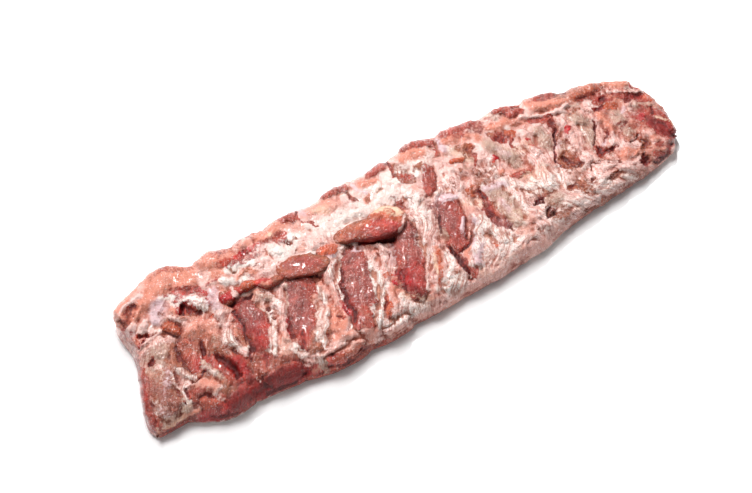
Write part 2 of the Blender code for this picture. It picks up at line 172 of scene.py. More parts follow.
# The near end: its swollen back corner, the cut face and the last rib under its membrane
NEAR_END_FORMS = (
    form(SALMON, 0.6, (-182, 50, 8), (-162, 56, 13), (-142, 58, 14), (-126, 52, 12), (-110, 48, 12)),
    form(SALMON, 1.6, (-174, 41, 5), (-163, 47, 6), (-151, 51, 6), (-144, 61, 6)),
    form(ORANGE, 0.4, (-166, 60, 3), (-150, 65, 3.5), (-138, 66, 4), cover=0.3),
    wash(PINK, 0.5, (-168, 54, 2.5), (-160, 58, 2)),
    form(LEAN, -1.4, (-186, 37, 3), (-180, 42, 4.2), (-172, 47, 4)),
    form(PLUM, -0.4, (-184, 38, 2), (-176, 44, 2.6), cover=0.45),
    form(PINK, 1.2, (-188, 41, 1.1), (-182, 49, 1.1), (-172, 51.5, 1.5), (-165, 54, 1.6)),
    form(SALMON, 1.6, (-184, 33, 2), (-176, 39, 2.2), (-167, 48, 2.6)),
    form(DARK_MEAT_AND_SHADE, -1.2, (-187, 40, 1.2), (-184, 45, 1.2), cover=0.8),
    form(SALMON, 1.0, (-188, 48, 3), (-184, 53, 3)),
    form(SALMON, 1.6, (-185, 25, 3.4), (-183, 20, 3)),
    form(PINK, 2.4, (-184, 29, 3.2), (-181, 34, 3.2)),
    form(PINK, 2.4, (-174, 29, 2.4), (-172, 33, 3)),
    form(ORANGE, -2.6, (-180, 25, 2), (-176, 23.5, 2.2)),
    form(BLOOD, -0.6, (-179, 25, 1.2), (-176, 24, 1.3), cover=0.45),
    form(PINK, 1.6, (-189, 15, 1.5), (-181, 18.5, 1.6), (-173, 20, 1.7), (-165, 21.5, 1.6)),
    form(LEAN, -0.9, (-188, 16.5, 0.7), (-180, 20.5, 0.7), (-170, 22.5, 0.7), cover=0.6),
    form(SILVER, 0.6, (-156, 43, 4), (-160, 36, 5), (-166, 29, 3)),
    wash(PLUM, 0.18, (-159, 40, 2), (-161, 33, 2)),
    form(CREAM, 0.6, (-155, 45, 1.4), (-149, 41, 2.4), (-145, 40, 1.6)),
    form(CREAM, 1.0, (-145, 35, 2), (-139, 33, 3), (-136, 26, 4.6), (-134, 20, 3)),
    form(DARK_MEAT_AND_SHADE, -1.2, (-131, 27, 1.1), cover=0.5),
    # Painted shade round the hollow by the last rib: brown and dark red, partly the meat's own colour
    form(BROWN, -0.5, (-142, 42, 4), (-134, 40, 4), (-128, 43, 3), cover=0.4),
    form(BROWN, -2.2, (-145, 29, 3), (-143, 24, 4), (-140, 20, 3)),
    form(DARK_MEAT_AND_SHADE, -3.6, (-149.5, 26, 2.2), (-145, 31.5, 2.2)),
    form(SALMON, 1.4, (-153, 33, 2.2), (-152, 28, 1.8), (-150, 22, 1.6)),
    wash(BLOOD, 0.5, (-151, 31, 1.2), (-151, 27, 1)),
    form(PINK, 0.8, (-157, 27, 1.8), (-154, 21, 1.8), (-151, 16, 1.4)),
    form(SILVER, 0.5, (-128, 24, 4.5), (-124, 30, 3.5), (-127, 18, 3), cover=0.8),
    wash(BLOOD, 0.35, (-130, 36, 2.2), (-122, 38, 3.2), (-116, 37, 2.2)),
    # A painted highlight: a pale pink fan on the near side of the salmon hump
    wash(PINK, 0.6, (-120, 53, 3), (-122, 45, 4.5), (-126, 38, 3)),
    form(SALMON, 0.8, (-152, 12, 6), (-144, 10, 6.5), (-136, 9, 4), cover=0.6),
    wash(BROWN, 0.45, (-154, 8, 4), (-147, 6, 4)),
    form(ORANGE, 0.8, (-132, 12, 3.6), (-127, 10, 2.6), cover=0.55),
    form(ORANGE, 3.0, (-161, 20.5, 5), (-159, 15.5, 3.6)),
    form(OLIVE, 2.6, (-178, 9, 8.5), (-182, -4, 8.5), (-187, -18, 8.5), (-193, -35, 7), cover=0.75),
    wash(BROWN, 0.6, (-174, -28, 4), (-176, -38, 5), (-184, -44, 4)),
    # Painted shade on the cut face of the near end, which faces away from the light
    wash(LEAN, 0.8, (-192, 2, 3), (-196, -10, 4), (-202, -24, 5), (-207, -38, 5)),
    wash(DARK_MEAT_AND_SHADE, 0.6, (-194, -2, 2), (-199, -14, 3), (-204, -27, 4), (-208, -38, 4)),
    wash(SALMON, 0.4, (-190, -4, 3), (-193, -14, 3), (-195, -24, 3)),
    form(PINK, 0.9, (-189, 10, 1.8), (-181, 14, 1.8), (-171, 15, 2.2), (-165, 11, 2), cover=0.7),
    form(BROWN, -1.5, (-167, 4, 3), (-167, -4, 3), (-169, -9, 2), cover=0.7),
    form(LEAN, -2.4, (-185, 1.6, 2.2), (-181.5, 4, 2.1)),
    form(DARK_MEAT_AND_SHADE, -0.6, (-184.5, 1.8, 1.2), cover=0.5),
    form(PINK, 0.8, (-182, -2.6, 1.3), (-181, -4.5, 1)),
    form(SILVER, 0.5, (-178, -8, 2), (-184, -18, 2.4), (-192, -28, 2), cover=0.85),
    form(BROWN, -0.5, (-186, -27, 2), (-188, -32, 2), cover=0.5),
    wash(SILVER, 0.55, (-197, -31, 3), (-195, -38, 3.4)),
    form(CREAM, 0.5, (-204, -43, 1.2), (-200, -33, 1.5), (-196, -26, 1.6), (-198, -21, 1.1), cover=0.7),
    form(OLIVE, 1.6, (-185, -32, 4.6), (-183, -38, 4.6)),
    form(CREAM, 0.4, (-187, -31, 2), (-183, -35, 2), cover=0.6),
    form(DARK_MEAT_AND_SHADE, -1.4, (-182, -33, 0.6), (-182.6, -38, 0.6), cover=0.7),
    form(SALMON, 1.0, (-205, -45, 2.2), (-196, -46, 2.2), (-188, -44, 2.2), (-179, -46, 2.2)),
    form(PINK, 0.4, (-201, -43, 1), (-190, -42, 1), cover=0.6),
    form(LEAN, 0.3, (-200, -14, 1.8), (-203, -23, 2.6), (-206, -33, 3.2), (-207, -40, 3)),
    form(ORANGE, 0.6, (-202.5, -21, 1.6), (-205, -30, 2), cover=0.6),
    form(DARK_MEAT_AND_SHADE, -0.6, (-203, -36, 1.4), (-204, -41, 1.6), cover=0.7),
)

# The back strip: humps of cartilage and fat, their dark cut tops, and vessels
BACK_STRIP_FORMS = (
    form(SALMON, 1.8, (-114, 56, 9), (-105, 51, 8), (-97, 46, 5)),
    wash(ORANGE, 0.4, (-107, 47, 4), (-99, 46, 3)),
    wash(BLOOD, 0.4, (-95, 46, 3.2), (-89, 48, 3.2), (-86, 43, 2)),
    form(PINK, 1.0, (-86, 41, 5), (-86, 32, 6), (-85, 24, 5)),
    form(LEAN, 1.4, (-84, 56, 5.5), (-78, 57, 5), cover=0.45),
    form(SALMON, 0.8, (-91, 54, 3.4), (-84, 52, 4), cover=0.6),
    form(DARK_MEAT_AND_SHADE, -0.8, (-78, 53, 1.8), cover=0.3),
    form(SALMON, 1.0, (-73, 51, 5.5), (-64, 51, 5.5), (-66, 46, 4)),
    form(TALLOW, 0.5, (-67.5, 50, 1.9)),
    form(BROWN, -0.4, (-76, 48, 2.4), (-69, 45, 3), (-62, 47, 3), (-62, 43, 1.6), cover=0.6),
    form(SALMON, 1.0, (-56, 53, 4), (-57, 57, 4), cover=0.7),
    form(LEAN, 1.0, (-53, 58, 4), (-46, 57.5, 3.6), (-49, 54, 2.6), cover=0.9),
    form(SILVER, 0.5, (-40, 58, 2.8), (-38, 53, 2.4), (-34, 58, 2.6), cover=0.65),
    form(LEAN, -0.7, (-42, 57, 1), (-44, 51, 1), (-40, 44.5, 1), (-37.6, 38, 0.9), cover=0.9),
    form(CREAM, 0.8, (-106, 40, 3), (-99, 39, 4.5), (-92, 36, 3.4)),
    form(CREAM, 0.8, (-112, 32, 4), (-107, 28, 3), (-98, 28, 3)),
    form(OLIVE, -1.4, (-104, 39, 1.2), (-103, 36.6, 1.4)),
    form(DARK_MEAT_AND_SHADE, -1.6, (-103.5, 36.8, 0.9), cover=0.5),
    form(SALMON, 0.8, (-107, 30, 1.3), (-100, 32.4, 2), (-95, 31, 2), (-92, 27.5, 2)),
    wash(BROWN, 0.45, (-104, 31, 1), (-96, 31.6, 1.2)),
    form(CREAM, 1.4, (-73, 39, 5), (-69, 34, 4.5), (-66, 30, 3)),
    form(SALMON, -0.6, (-78, 40, 1.1), (-77, 32, 1), cover=0.6),
    form(CREAM, 0.8, (-63, 41, 2.6), (-57, 42, 2), (-53, 38, 1.8)),
    form(BROWN, -0.8, (-56.5, 39, 0.7), (-54, 36, 0.7), (-55, 41, 0.7), cover=0.6),
    form(DARK_MEAT_AND_SHADE, -3.0, (-61, 37.5, 1.6), (-59.5, 36.6, 2), cover=0.8),
    form(BROWN, -0.5, (-62, 40, 1.5), (-58, 36, 2), cover=0.5),
    form(PINK, 1.6, (-47, 34, 6), (-46, 26, 5.4)),
    form(SALMON, 0.4, (-49, 45, 4), (-47, 41, 3), cover=0.6),
    wash(BLOOD, 0.25, (-49, 44, 2), (-48, 41, 1.4)),
    form(SALMON, 0.4, (-57, 28, 3), (-54, 31, 1.6), cover=0.7),
    form(BROWN, -0.8, (-60, 29, 1), cover=0.7),
    form(CREAM, 0.8, (-57, 22, 2), (-51, 21, 2)),
    form(SALMON, 1.4, (-32, 53, 5), (-24, 51, 6), (-16, 48, 4), cover=0.75),
    form(TALLOW, 0.3, (-30, 50, 3.4), (-24, 47, 3), cover=0.5),
    form(LEAN, 1.2, (-19, 58.5, 3.4), (-12, 59.5, 4), (-4, 57.5, 3.6), cover=0.8),
    form(LEAN, -0.7, (-3.5, 54, 1.6), (-4, 48, 1.5), (-2.4, 43.5, 1.2), cover=0.85),
    form(SILVER, 0.4, (3, 57, 1.1), (4, 50, 1.3), (6, 46, 1.1), cover=0.9),
    form(PINK, 0.6, (-7, 52, 2), (-8, 44, 3), (-5, 38, 2), cover=0.7),
    form(SALMON, -0.3, (6, 43, 1.6), (4, 38.5, 2.5), (2.6, 34, 1.8)),
    wash(BROWN, 0.5, (5, 40, 1.3), (3, 35, 1.3)),
    form(OLIVE, -0.8, (12.6, 41.4, 1), (18.5, 40.6, 1)),
    form(SALMON, 0.6, (9, 53, 3), (15, 51.5, 3.6), (20, 51, 2)),
    form(LEAN, 1.3, (18, 58.5, 2.6), (26, 58.5, 4), (30, 60, 2.8)),
    form(PINK, 0.8, (38, 58, 3), (43, 57, 3), cover=0.7),
    form(LEAN, -0.8, (33, 63, 1.2), (34.4, 57, 1.8), (33, 51, 1.5), (32, 46, 1.3)),
    form(LEAN, 0.6, (35, 41, 3.2), (33.4, 38.4, 2.4), cover=0.85),
    form(SALMON, 1.0, (46, 57, 4), (56, 57, 5), (62, 54, 3)),
    form(LEAN, 1.0, (50, 64, 2.6), (60, 64, 4), (69, 61, 3.6), (70, 56, 2.4), (69, 50, 1.8), (67.5, 46, 1.2)),
    form(SILVER, 0.6, (77, 57, 2.8), (75, 50, 3.2), (74, 46, 2)),
    form(OLIVE, -0.4, (80, 42, 3), (74, 41, 2.4), cover=0.5),
    form(LEAN, 1.4, (85, 61.5, 3.6), (93, 61, 4), (101, 59, 3.6), (107, 59.5, 3)),
    form(SALMON, 0.8, (81, 54, 4), (88, 54, 4.4)),
    form(SALMON, 0.6, (93, 50, 4), (97, 48, 3)),
    wash(BLOOD, 0.3, (94, 50.5, 2.6), (97, 48, 2)),
    form(SALMON, -0.4, (102, 46, 2.4), (102, 41, 2.8)),
    wash(LEAN, 0.6, (112, 56, 1), (108, 50, 1), (106, 47, 0.8)),
    form(SALMON, 0.8, (112, 48, 3.4), (120, 46, 4), (127, 45, 3)),
    form(OLIVE, 1.0, (122, 56, 3.4), (124, 53, 3), cover=0.7),
    form(LEAN, 1.6, (130, 57, 4.4), (137, 53, 5), (135, 48, 4), (142, 51, 3)),
    wash(PINK, 0.5, (128, 58, 0.7), (133, 52, 0.7)),
    wash(PINK, 0.5, (134, 58, 0.7), (138, 50, 0.7)),
    form(PINK, 0.8, (146.5, 55, 1.3), (146, 48, 1.2), cover=0.8),
    form(LEAN, 0.4, (143.6, 49.5, 2.6), (143, 46.5, 2)),
    form(BROWN, -0.5, (129, 39, 1.6), (134, 37, 1.7), cover=0.8),
    form(SALMON, 2.0, (155, 44, 6), (164, 42, 8), (173, 40, 7)),
    wash(ORANGE, 0.35, (162, 38, 4), (170, 37, 4)),
    form(LEAN, 0.4, (161, 50.5, 4), (169, 50, 5), (177, 47, 3), cover=0.8),
    form(SALMON, 2.0, (184, 39, 6.5), (193, 38.5, 7), (201, 38, 5.5)),
    wash(ORANGE, 0.55, (184, 36, 4.5), (194, 36, 5.5), (202, 36, 4)),
    form(LEAN, -0.3, (186, 32, 3.4), (197, 31.5, 3.6), (204, 35, 3), cover=0.65),
    form(PINK, 1.8, (139, 42, 2), (149, 38.5, 1.9), (158, 33.4, 2.3), (166, 31.6, 2.3), (175, 34, 1.8)),
    wash(BROWN, 0.5, (205, 44, 1.4), (212, 39.5, 1.4)),
    form(SALMON, 1.2, (211, 36, 3.6), (219, 30, 4.4), (225, 26, 3)),
    wash(BLOOD, 0.6, (224, 22, 2.2), (226, 19, 2)),
)

# Pale bands over the ribs, from the near end to the far end
RIB_BAND_FORMS = (
    form(PINK, 2.6, (-128, 12, 3), (-133, -3, 3.6), (-134.5, -11, 4.2), (-132.5, -19, 3.4), (-132, -25, 2.4)),
    form(CREAM, 0.6, (-133, -4, 1.8), (-134, -12, 2.4), (-133, -18, 1.6)),
    form(PINK, 2.6, (-96, 8, 2.6), (-95.5, 1, 3.8), (-94, -6, 3.4), (-97, -14, 3), (-101, -22, 2.6),
         (-105, -30, 2.6)),
    form(CREAM, 0.4, (-94, 3, 2), (-93, -4, 2), cover=0.6),
    form(PINK, 2.4, (-50, 6, 3), (-55, -3, 3), (-58, -12, 3), (-60, -22, 3), (-65, -34, 3.2), (-72, -46, 4)),
    wash(SALMON, 0.6, (-61, -4, 2), (-60, -16, 2.4), (-64, -30, 2.6)),
    form(PINK, 2.4, (-12, 2, 2.6), (-14, -6, 3), (-19, -14, 3), (-24, -24, 3.4), (-30, -38, 4.6),
         (-36, -50, 5)),
    form(PINK, 2.6, (34, 28, 7), (29, 14, 8), (25, 0, 7), (19, -14, 5.5), (14, -30, 6), (7, -45, 7)),
    wash(CREAM, 0.5, (16, 2, 3), (12, -12, 3), (8, -24, 2.4)),
    form(CREAM, 0.4, (30, 24, 5), (27, 8, 6), (24, -4, 4), cover=0.7),
    form(PINK, 2.4, (66, 30, 5), (63, 16, 6), (60, 2, 5), (58, -14, 5), (58, -30, 5), (60, -44, 5.5)),
    form(CREAM, 0.6, (57.5, -18, 3.4), (58, -30, 3.8), (60, -42, 4.6), (60, -48, 4)),
    form(PINK, 2.4, (97, 32, 5.5), (94, 16, 6), (90, 2, 5.5), (91, -12, 4.6), (90, -26, 5), (88, -38, 5)),
    form(CREAM, 0.4, (92, 12, 3), (90, -2, 3), cover=0.5),
    form(PINK, 2.6, (130, 30, 4.6), (127, 14, 5.4), (122, 0, 6.4), (118, -12, 7), (116, -22, 6)),
    form(CREAM, 0.8, (120, -14, 5), (115, -19, 5), (109, -12, 4), cover=0.8),
    form(PINK, 2.4, (161, 24, 3.6), (157, 8, 4), (154, -6, 4), (151, -18, 4)),
    wash(SALMON, 0.4, (158, 4, 2), (154, -3, 2)),
    form(SALMON, 2.4, (187, 13, 3.2), (185.4, 2, 3.8), (183.4, -7, 4)),
    form(PINK, 1.6, (181, -9, 3), (181, -17, 4), (187, -23, 3.4), (178, -21, 3)),
    form(PINK, 1.4, (211, 9, 2.4), (209, 1, 2.6), (211, -8, 2), cover=0.8),
)

# Muscle sunk between the ribs
VALLEY_FORMS = (
    form(LEAN, 1.4, (-160, 4, 5), (-160.5, -7, 6), (-163, -15, 5.4)),
    wash(BROWN, 0.5, (-172, -2, 3.6), (-174, -8, 3.4)),
    form(BROWN, 0.4, (-153, -38, 5), (-155, -44, 4.6), (-150, -44, 4), cover=0.85),
    form(LEAN, 0.8, (-139, -22, 3.4), (-138, -30, 5), (-140, -42, 4.4), (-141, -50, 4)),
    form(OLIVE, 0.8, (-139, -3, 2.4), (-143, -10, 4), cover=0.7),
    form(SALMON, 0.6, (-141, 1, 4.6), (-137, 5, 3.6), cover=0.7),
    form(SALMON, 0.6, (-125, -2, 3), (-127, -10, 3), (-129, -18, 2.2)),
    wash(BROWN, 0.5, (-125, 0, 2), (-127, -11, 2.2), (-129, -17, 1.8)),
    form(LEAN, 1.3, (-113, 8, 7.7), (-115, 1, 8.8), (-115, -7, 9.9), (-117, -16, 9.2), (-120, -25, 6.2)),
    wash(DARK_MEAT_AND_SHADE, 0.35, (-116, 8, 5), (-117, -4, 6), (-119, -16, 5)),
    wash(BLOOD, 0.3, (-112, -8, 5), (-114, -16, 6), (-117, -24, 5)),
    wash(OLIVE, 0.42, (-112, 8, 5), (-105, 6, 5), (-108, 0, 3.6)),
    form(DARK_MEAT_AND_SHADE, -1.8, (-120, 9, 1.8), (-121, -4, 1.6), (-124, -14, 2.2), (-126.5, -24, 2.8), cover=0.75),
    form(DARK_MEAT_AND_SHADE, -1.0, (-122, -20, 2.4), (-124, -26, 2.6), cover=0.6),
    form(ORANGE, -0.4, (-124, -12, 2), (-123, -17, 2), cover=0.6),
    form(LEAN, 1.2, (-76, 5, 5.5), (-79, -3, 8.8), (-82, -13, 9.5), (-87, -23, 9.5), (-92, -33, 7.3),
         (-97, -40, 5.1)),
    wash(SILVER, 0.42, (-81, 2, 4), (-86, -7, 4), (-91, -16, 3), (-94, -24, 3)),
    form(LEAN, 0.4, (-69, 5, 4.6), (-69, -3, 4.4), (-71, -12, 4)),
    form(BROWN, 0.8, (-86, -39, 6), (-92, -45, 5), cover=0.8),
    form(DARK_MEAT_AND_SHADE, -1.3, (-93, -31, 1.2), (-97, -37, 1.4), (-99, -42, 1.2), cover=0.55),
    form(LEAN, 1.9, (-31, 3, 7.7), (-37, -6, 11.0), (-42, -16, 12.1), (-48, -29, 12.1), (-54, -41, 8.8),
         (-58, -49, 6.6)),
    wash(SILVER, 0.2, (-37, 4, 4.4), (-42, -3, 4.4), (-47, -12, 3)),
    form(LEAN, 1.8, (13, 9, 5.1), (9, 1, 7.7), (3, -9, 9.5), (-2, -20, 9.9), (-8, -32, 8.8), (-13, -43, 7.3),
         (-15, -50, 5.5)),
    wash(SILVER, 0.45, (-5, -3, 3), (-9, -10, 3.4), (-13, -16, 2.8)),
    wash(SILVER, 0.35, (16, 0, 1.6), (11, -12, 1.8), (5, -22, 1.8)),
    form(DARK_MEAT_AND_SHADE, -1.0, (-13, -27, 3.6), (-16, -35, 3.8), (-17, -43, 3.6), (-15, -50, 3), cover=0.72),
    form(LEAN, 1.0, (55, 39, 4.6), (51, 32, 5.6), (46, 25, 5), (42, 21, 3.6)),
    form(BROWN, 0.4, (47, 43, 3.4), (52, 46, 2.6), (57, 44.6, 1.8), cover=0.8),
    form(LEAN, 0.6, (19, 31.5, 2.4), (20, 25, 3), (20, 20, 2)),
    form(LEAN, 1.3, (50, 7, 6.6), (45, 0, 9.5), (41, -10, 9.9), (35, -20, 8.8), (30, -29, 5.5)),
    wash(DARK_MEAT_AND_SHADE, 0.35, (47, 2, 4), (43, -8, 4.6), (38, -16, 4)),
    wash(OLIVE, 0.7, (38, 1, 3.4), (33, -8, 3.6), (28, -17, 3.4)),
    form(SILVER, 0.4, (42, 10, 3), (48, 10, 4), (55, 8, 3.4), cover=0.75),
    wash(SALMON, 0.6, (56, -3, 3), (57, -9, 3)),
    form(LEAN, -0.6, (71, 1, 2.8), (69, -8, 4), (67, -16, 5.2), (67, -23, 5), (69, -30, 4)),
    form(DARK_MEAT_AND_SHADE, -0.6, (70, -3, 2.4), (67, -13, 3.6), (65.5, -20, 3.4), cover=0.6),
    wash(BROWN, 0.6, (73, -12, 3.4), (73, -22, 4), (71, -32, 3.4)),
    form(OLIVE, 1.6, (81, -3, 6), (81, -14, 8), (79, -25, 7.4), (76, -36, 5.6)),
    form(SILVER, 0.3, (79, -12, 2), (78, -24, 2), (80, -30, 2), cover=0.6),
    form(SILVER, 0.4, (77, 1, 2.6), (84, 0, 3.6), (91, -2, 2.6), cover=0.9),
    form(BROWN, -0.2, (84, 42, 4), (88, 39, 4.4), (85, 34, 4), (87, 30, 2.6), cover=0.9),
    form(ORANGE, 0.3, (92, 39, 2.6), (90, 37, 2), cover=0.6),
    form(LEAN, -0.4, (89.5, 31, 1.6), (86.6, 27, 2), (84, 24, 1.4), cover=0.85),
    form(OLIVE, 1.4, (103, 35, 4), (106, 26, 5.6), (109, 17, 6.4), (109, 9, 5.4)),
    form(BROWN, -0.3, (104, 13, 0.8), (108, 5, 1), (114, 9, 0.8), (114, 16, 0.7), cover=0.5),
    wash(SILVER, 0.4, (107, 27, 2.6), (109, 18, 3)),
    wash(BROWN, 0.85, (110, 41, 2.6), (115, 39.5, 3)),
    form(LEAN, -0.8, (111, 36, 3), (116, 36.6, 4), (119, 33, 3.4), (114, 31, 2.6)),
    form(DARK_MEAT_AND_SHADE, -0.6, (112.6, 35, 2.6), (114, 32, 2.2), cover=0.65),
    form(ORANGE, 0.4, (121, 36, 2.4), (125, 34, 2.4), (122, 31, 1.8)),
    form(LEAN, -0.6, (120, 28, 1.6), (117, 24, 1.5), (119, 19.6, 1.6), cover=0.9),
    form(OLIVE, 1.2, (141, 24, 4.8), (139, 15, 5), (137, 8, 3.4)),
    form(OLIVE, 0.6, (148, 8, 2), (145, 2, 3.4), (141, -3, 2.4), cover=0.8),
    form(SILVER, 0.2, (147, 9, 1.4), (143, 4, 2), cover=0.6),
    wash(LEAN, 1.0, (143, 35, 2.8), (149, 32, 3.6), (156, 31.4, 3)),
    form(LEAN, -1.6, (154, 27.5, 3.2), (152, 20, 2.4), (148, 13, 1.7)),
    form(DARK_MEAT_AND_SHADE, -1.6, (152, 19, 1), (147, 12, 1), (140, 4.4, 1.1), (136, -2, 1.2), (131, -12, 1.4), cover=0.8),
    form(BROWN, -1.8, (143, -4, 4), (140, -10, 5), (144, -15, 3.6), (135, -12.6, 2.6)),
    form(DARK_MEAT_AND_SHADE, -0.8, (141, -9, 2.6), (138, -12, 2.6), (141, -15, 2), cover=0.45),
    form(LEAN, 0.4, (147, -9, 2.4), (146.6, -14, 2.2), cover=0.8),
    form(OLIVE, 1.2, (172, 21, 5), (173, 12, 5.4), (170, 3, 5), (165, -5, 4.4), (163, -11, 3)),
    form(DARK_MEAT_AND_SHADE, -2.0, (180, 10, 1.2), (176, 3.4, 1.2), (170.6, -3, 1.1), (165, -9, 1), cover=0.75),
    form(LEAN, -1.0, (180, -4, 1), (176, -8, 1.1), (171, -12, 1.1), cover=0.8),
    form(LEAN, -2.2, (166, -13, 3.4), (161, -18, 2), (169, -17, 2.6), (176, -18, 2)),
    form(DARK_MEAT_AND_SHADE, -0.8, (166, -14, 2.2), (163, -17.4, 1.6), (174, -18, 1.4), cover=0.6),
    # A painted highlight: a small pale silver spot
    form(SILVER, 0.8, (171, -12, 1.2), (176, -9.6, 1.2), cover=0.9),
    form(BROWN, 0.2, (171, 25.5, 2), (179, 26, 2.4), cover=0.55),
    form(OLIVE, 0.4, (176, 30.6, 2.6), (181, 29, 2), cover=0.7),
    form(OLIVE, 1.0, (197, 6, 5.4), (195, -3, 5.4), (194, -13, 5)),
    form(PLUM, -0.6, (194, -3, 2.6), (199, -4.4, 2), cover=0.35),
    form(SILVER, 0.3, (205, 8.6, 1.8), (202, 5, 2), cover=0.85),
)

# Seams and strands of white fat
FAT_SEAM_FORMS = (
    form(CREAM, 1.2, (-178, -12, 0.7), (-180, -20, 0.8), (-178.4, -29, 1.1), (-179, -37, 0.9)),
    form(CREAM, 1.4, (-173, -12, 2.1), (-170.5, -17, 2.6), (-168, -21, 1.6)),
    wash(OLIVE, 0.4, (-173, -14, 1.6), (-169, -18, 1.6)),
    form(CREAM, 0.9, (-175, -22, 0.7), (-176.6, -32, 0.8)),
    form(CREAM, 0.8, (-157.6, -3, 0.8), (-155, -8, 0.8), (-156.6, -12, 0.7)),
    form(OLIVE, 1.8, (-157, -15, 2), (-155, -24, 3), (-153, -32, 2.6)),
    form(CREAM, 0.4, (-157, -20, 1.4), (-155, -27, 1.8), cover=0.8),
    form(CREAM, 0.8, (-158, -37, 1.6), (-162, -39.6, 2.0), (-165, -43, 1.8), (-164, -48, 1.6)),
    form(CREAM, 0.8, (-125.4, -17, 0.7), (-129.4, -24, 0.8), (-132.4, -32, 0.8)),
    form(OLIVE, 1.0, (-135, -33, 2.6), (-131, -38, 2.6), (-128, -43, 2.4)),
    form(CREAM, 0.7, (-134, -41, 1.1), (-135, -47, 1.1), (-137, -53, 0.9), cover=0.85),
    form(CREAM, 1.7, (-101, -6, 1.1), (-104, -13, 1.7), (-109, -21, 1.7), (-114, -30, 1.8), (-118, -37, 1.2)),
    form(SALMON, 0.6, (-105, -26, 3.4), (-109, -34, 5), (-114, -41, 5), cover=0.75),
    wash(OLIVE, 0.4, (-106, -30, 2.6), (-111, -38, 3)),
    form(OLIVE, 0.8, (-101, 13, 2.2), (-98.6, 8, 2.4), (-97, 3, 1.8)),
    form(OLIVE, 0.8, (-82, 7, 1.3), (-86, 0, 1.2), (-90, -7, 1)),
    form(CREAM, 1.8, (-64, -4, 0.7), (-66, -11, 1.6), (-67, -18, 1.7), (-69, -25, 2.0), (-75, -30.6, 1.8),
         (-79, -36, 1.6)),
    form(CREAM, 1.2, (-80, -37, 1.1), (-84, -42, 2.1), (-88, -48, 1.8)),
    form(SALMON, 0.4, (-66, -24, 3), (-67, -33, 4), (-72, -40, 4.6)),
    wash(ORANGE, 0.35, (-65, -26, 2), (-68, -36, 2.4)),
    form(CREAM, 1.1, (-54, -13, 0.7), (-56, -22, 0.8), (-59, -30, 0.9), (-63, -38, 0.8), (-66, -46, 0.7)),
    form(CREAM, 1.0, (-39, 7, 1.1), (-45, 1, 1.1), (-49.6, -5, 1.2), (-53, -11, 1.0)),
    form(TALLOW, 1.0, (-58, 4, 1.2), (-51, 8, 1.3), (-46, 10, 1.2)),
    form(CREAM, 0.8, (-55, -1, 1.0), (-50, 3, 1.1), (-44, 7, 1.1)),
    form(CREAM, 1.8, (-24, -16, 1.6), (-26, -20, 2), (-28.6, -27, 2.0), (-33, -33, 2.1), (-39, -41, 2.0),
         (-45, -49, 2.3), (-51, -55, 2.1)),
    form(CREAM, 0.6, (-24, -43, 2.5), (-26, -51, 3.0), (-22, -55, 2.6), cover=0.8),
    form(ORANGE, -0.6, (-32, -35, 1.8), (-36, -43, 2.6), (-39, -51, 3), cover=0.8),
    form(DARK_MEAT_AND_SHADE, -0.6, (-38, -50, 1.2), (-40, -55, 1), cover=0.4),
    form(SALMON, 0.6, (-27, -36, 2.4), (-30, -44, 2), cover=0.8),
    form(PINK, 1.8, (20, -11, 1), (12, -21, 1.4), (5, -30, 1.4), (-1, -38, 1.4), (-7, -47, 1.4)),
    form(TALLOW, 1.0, (13, -27, 1.7), (9, -34, 1.7), (5, -41, 1.4)),
    wash(SALMON, 1.0, (17.4, -22, 2.2), (15, -30, 2.4), (10.6, -38, 2)),
    wash(ORANGE, 0.65, (16, -26, 1.6), (12, -35, 1.4), (5.6, -43, 2.4), (1, -51, 2.2)),
    form(CREAM, 0.9, (20, -30, 1.8), (19, -38, 2.1), (15, -44, 2.3), (9, -50, 3.0), (4, -54, 2.6)),
    form(BROWN, -0.6, (18, -47, 1.8), (15, -53, 2), (19, -56, 1.6), cover=0.55),
    form(SILVER, 1.6, (49, -11, 1.4), (43, -18, 1.8), (37, -26, 1.4)),
    form(DARK_MEAT_AND_SHADE, -1.6, (51.6, -20, 1), (47, -25, 1.4), (40, -31, 1.4), (32, -33.4, 1.8), cover=0.7),
    form(SILVER, 2.2, (54, -18, 2.6), (50, -27, 3.8), (44, -34, 4), (38, -42, 4), (33, -49, 3.2)),
    form(CREAM, 0.3, (52, -23, 1.6), (46, -32, 2), (38, -40, 2), cover=0.7),
    form(SALMON, 0.6, (29, -42, 1.6), (32, -37, 1.8), (36, -35, 1.6)),
    wash(ORANGE, 0.6, (51, -37, 1.4), (51.4, -44, 2)),
    form(CREAM, 0.8, (88, -14, 2.5), (91, -22, 3.0), (88, -30, 3.0), cover=0.7),
    wash(SALMON, 0.7, (72, -44, 3.4), (79, -45, 3.4), (86, -40, 2.6)),
    form(BROWN, -0.6, (83, -48, 1.3), (85, -46, 1), cover=0.8),
    form(SALMON, 0.3, (104, -12, 2.6), (106, -14, 2), cover=0.6),
)
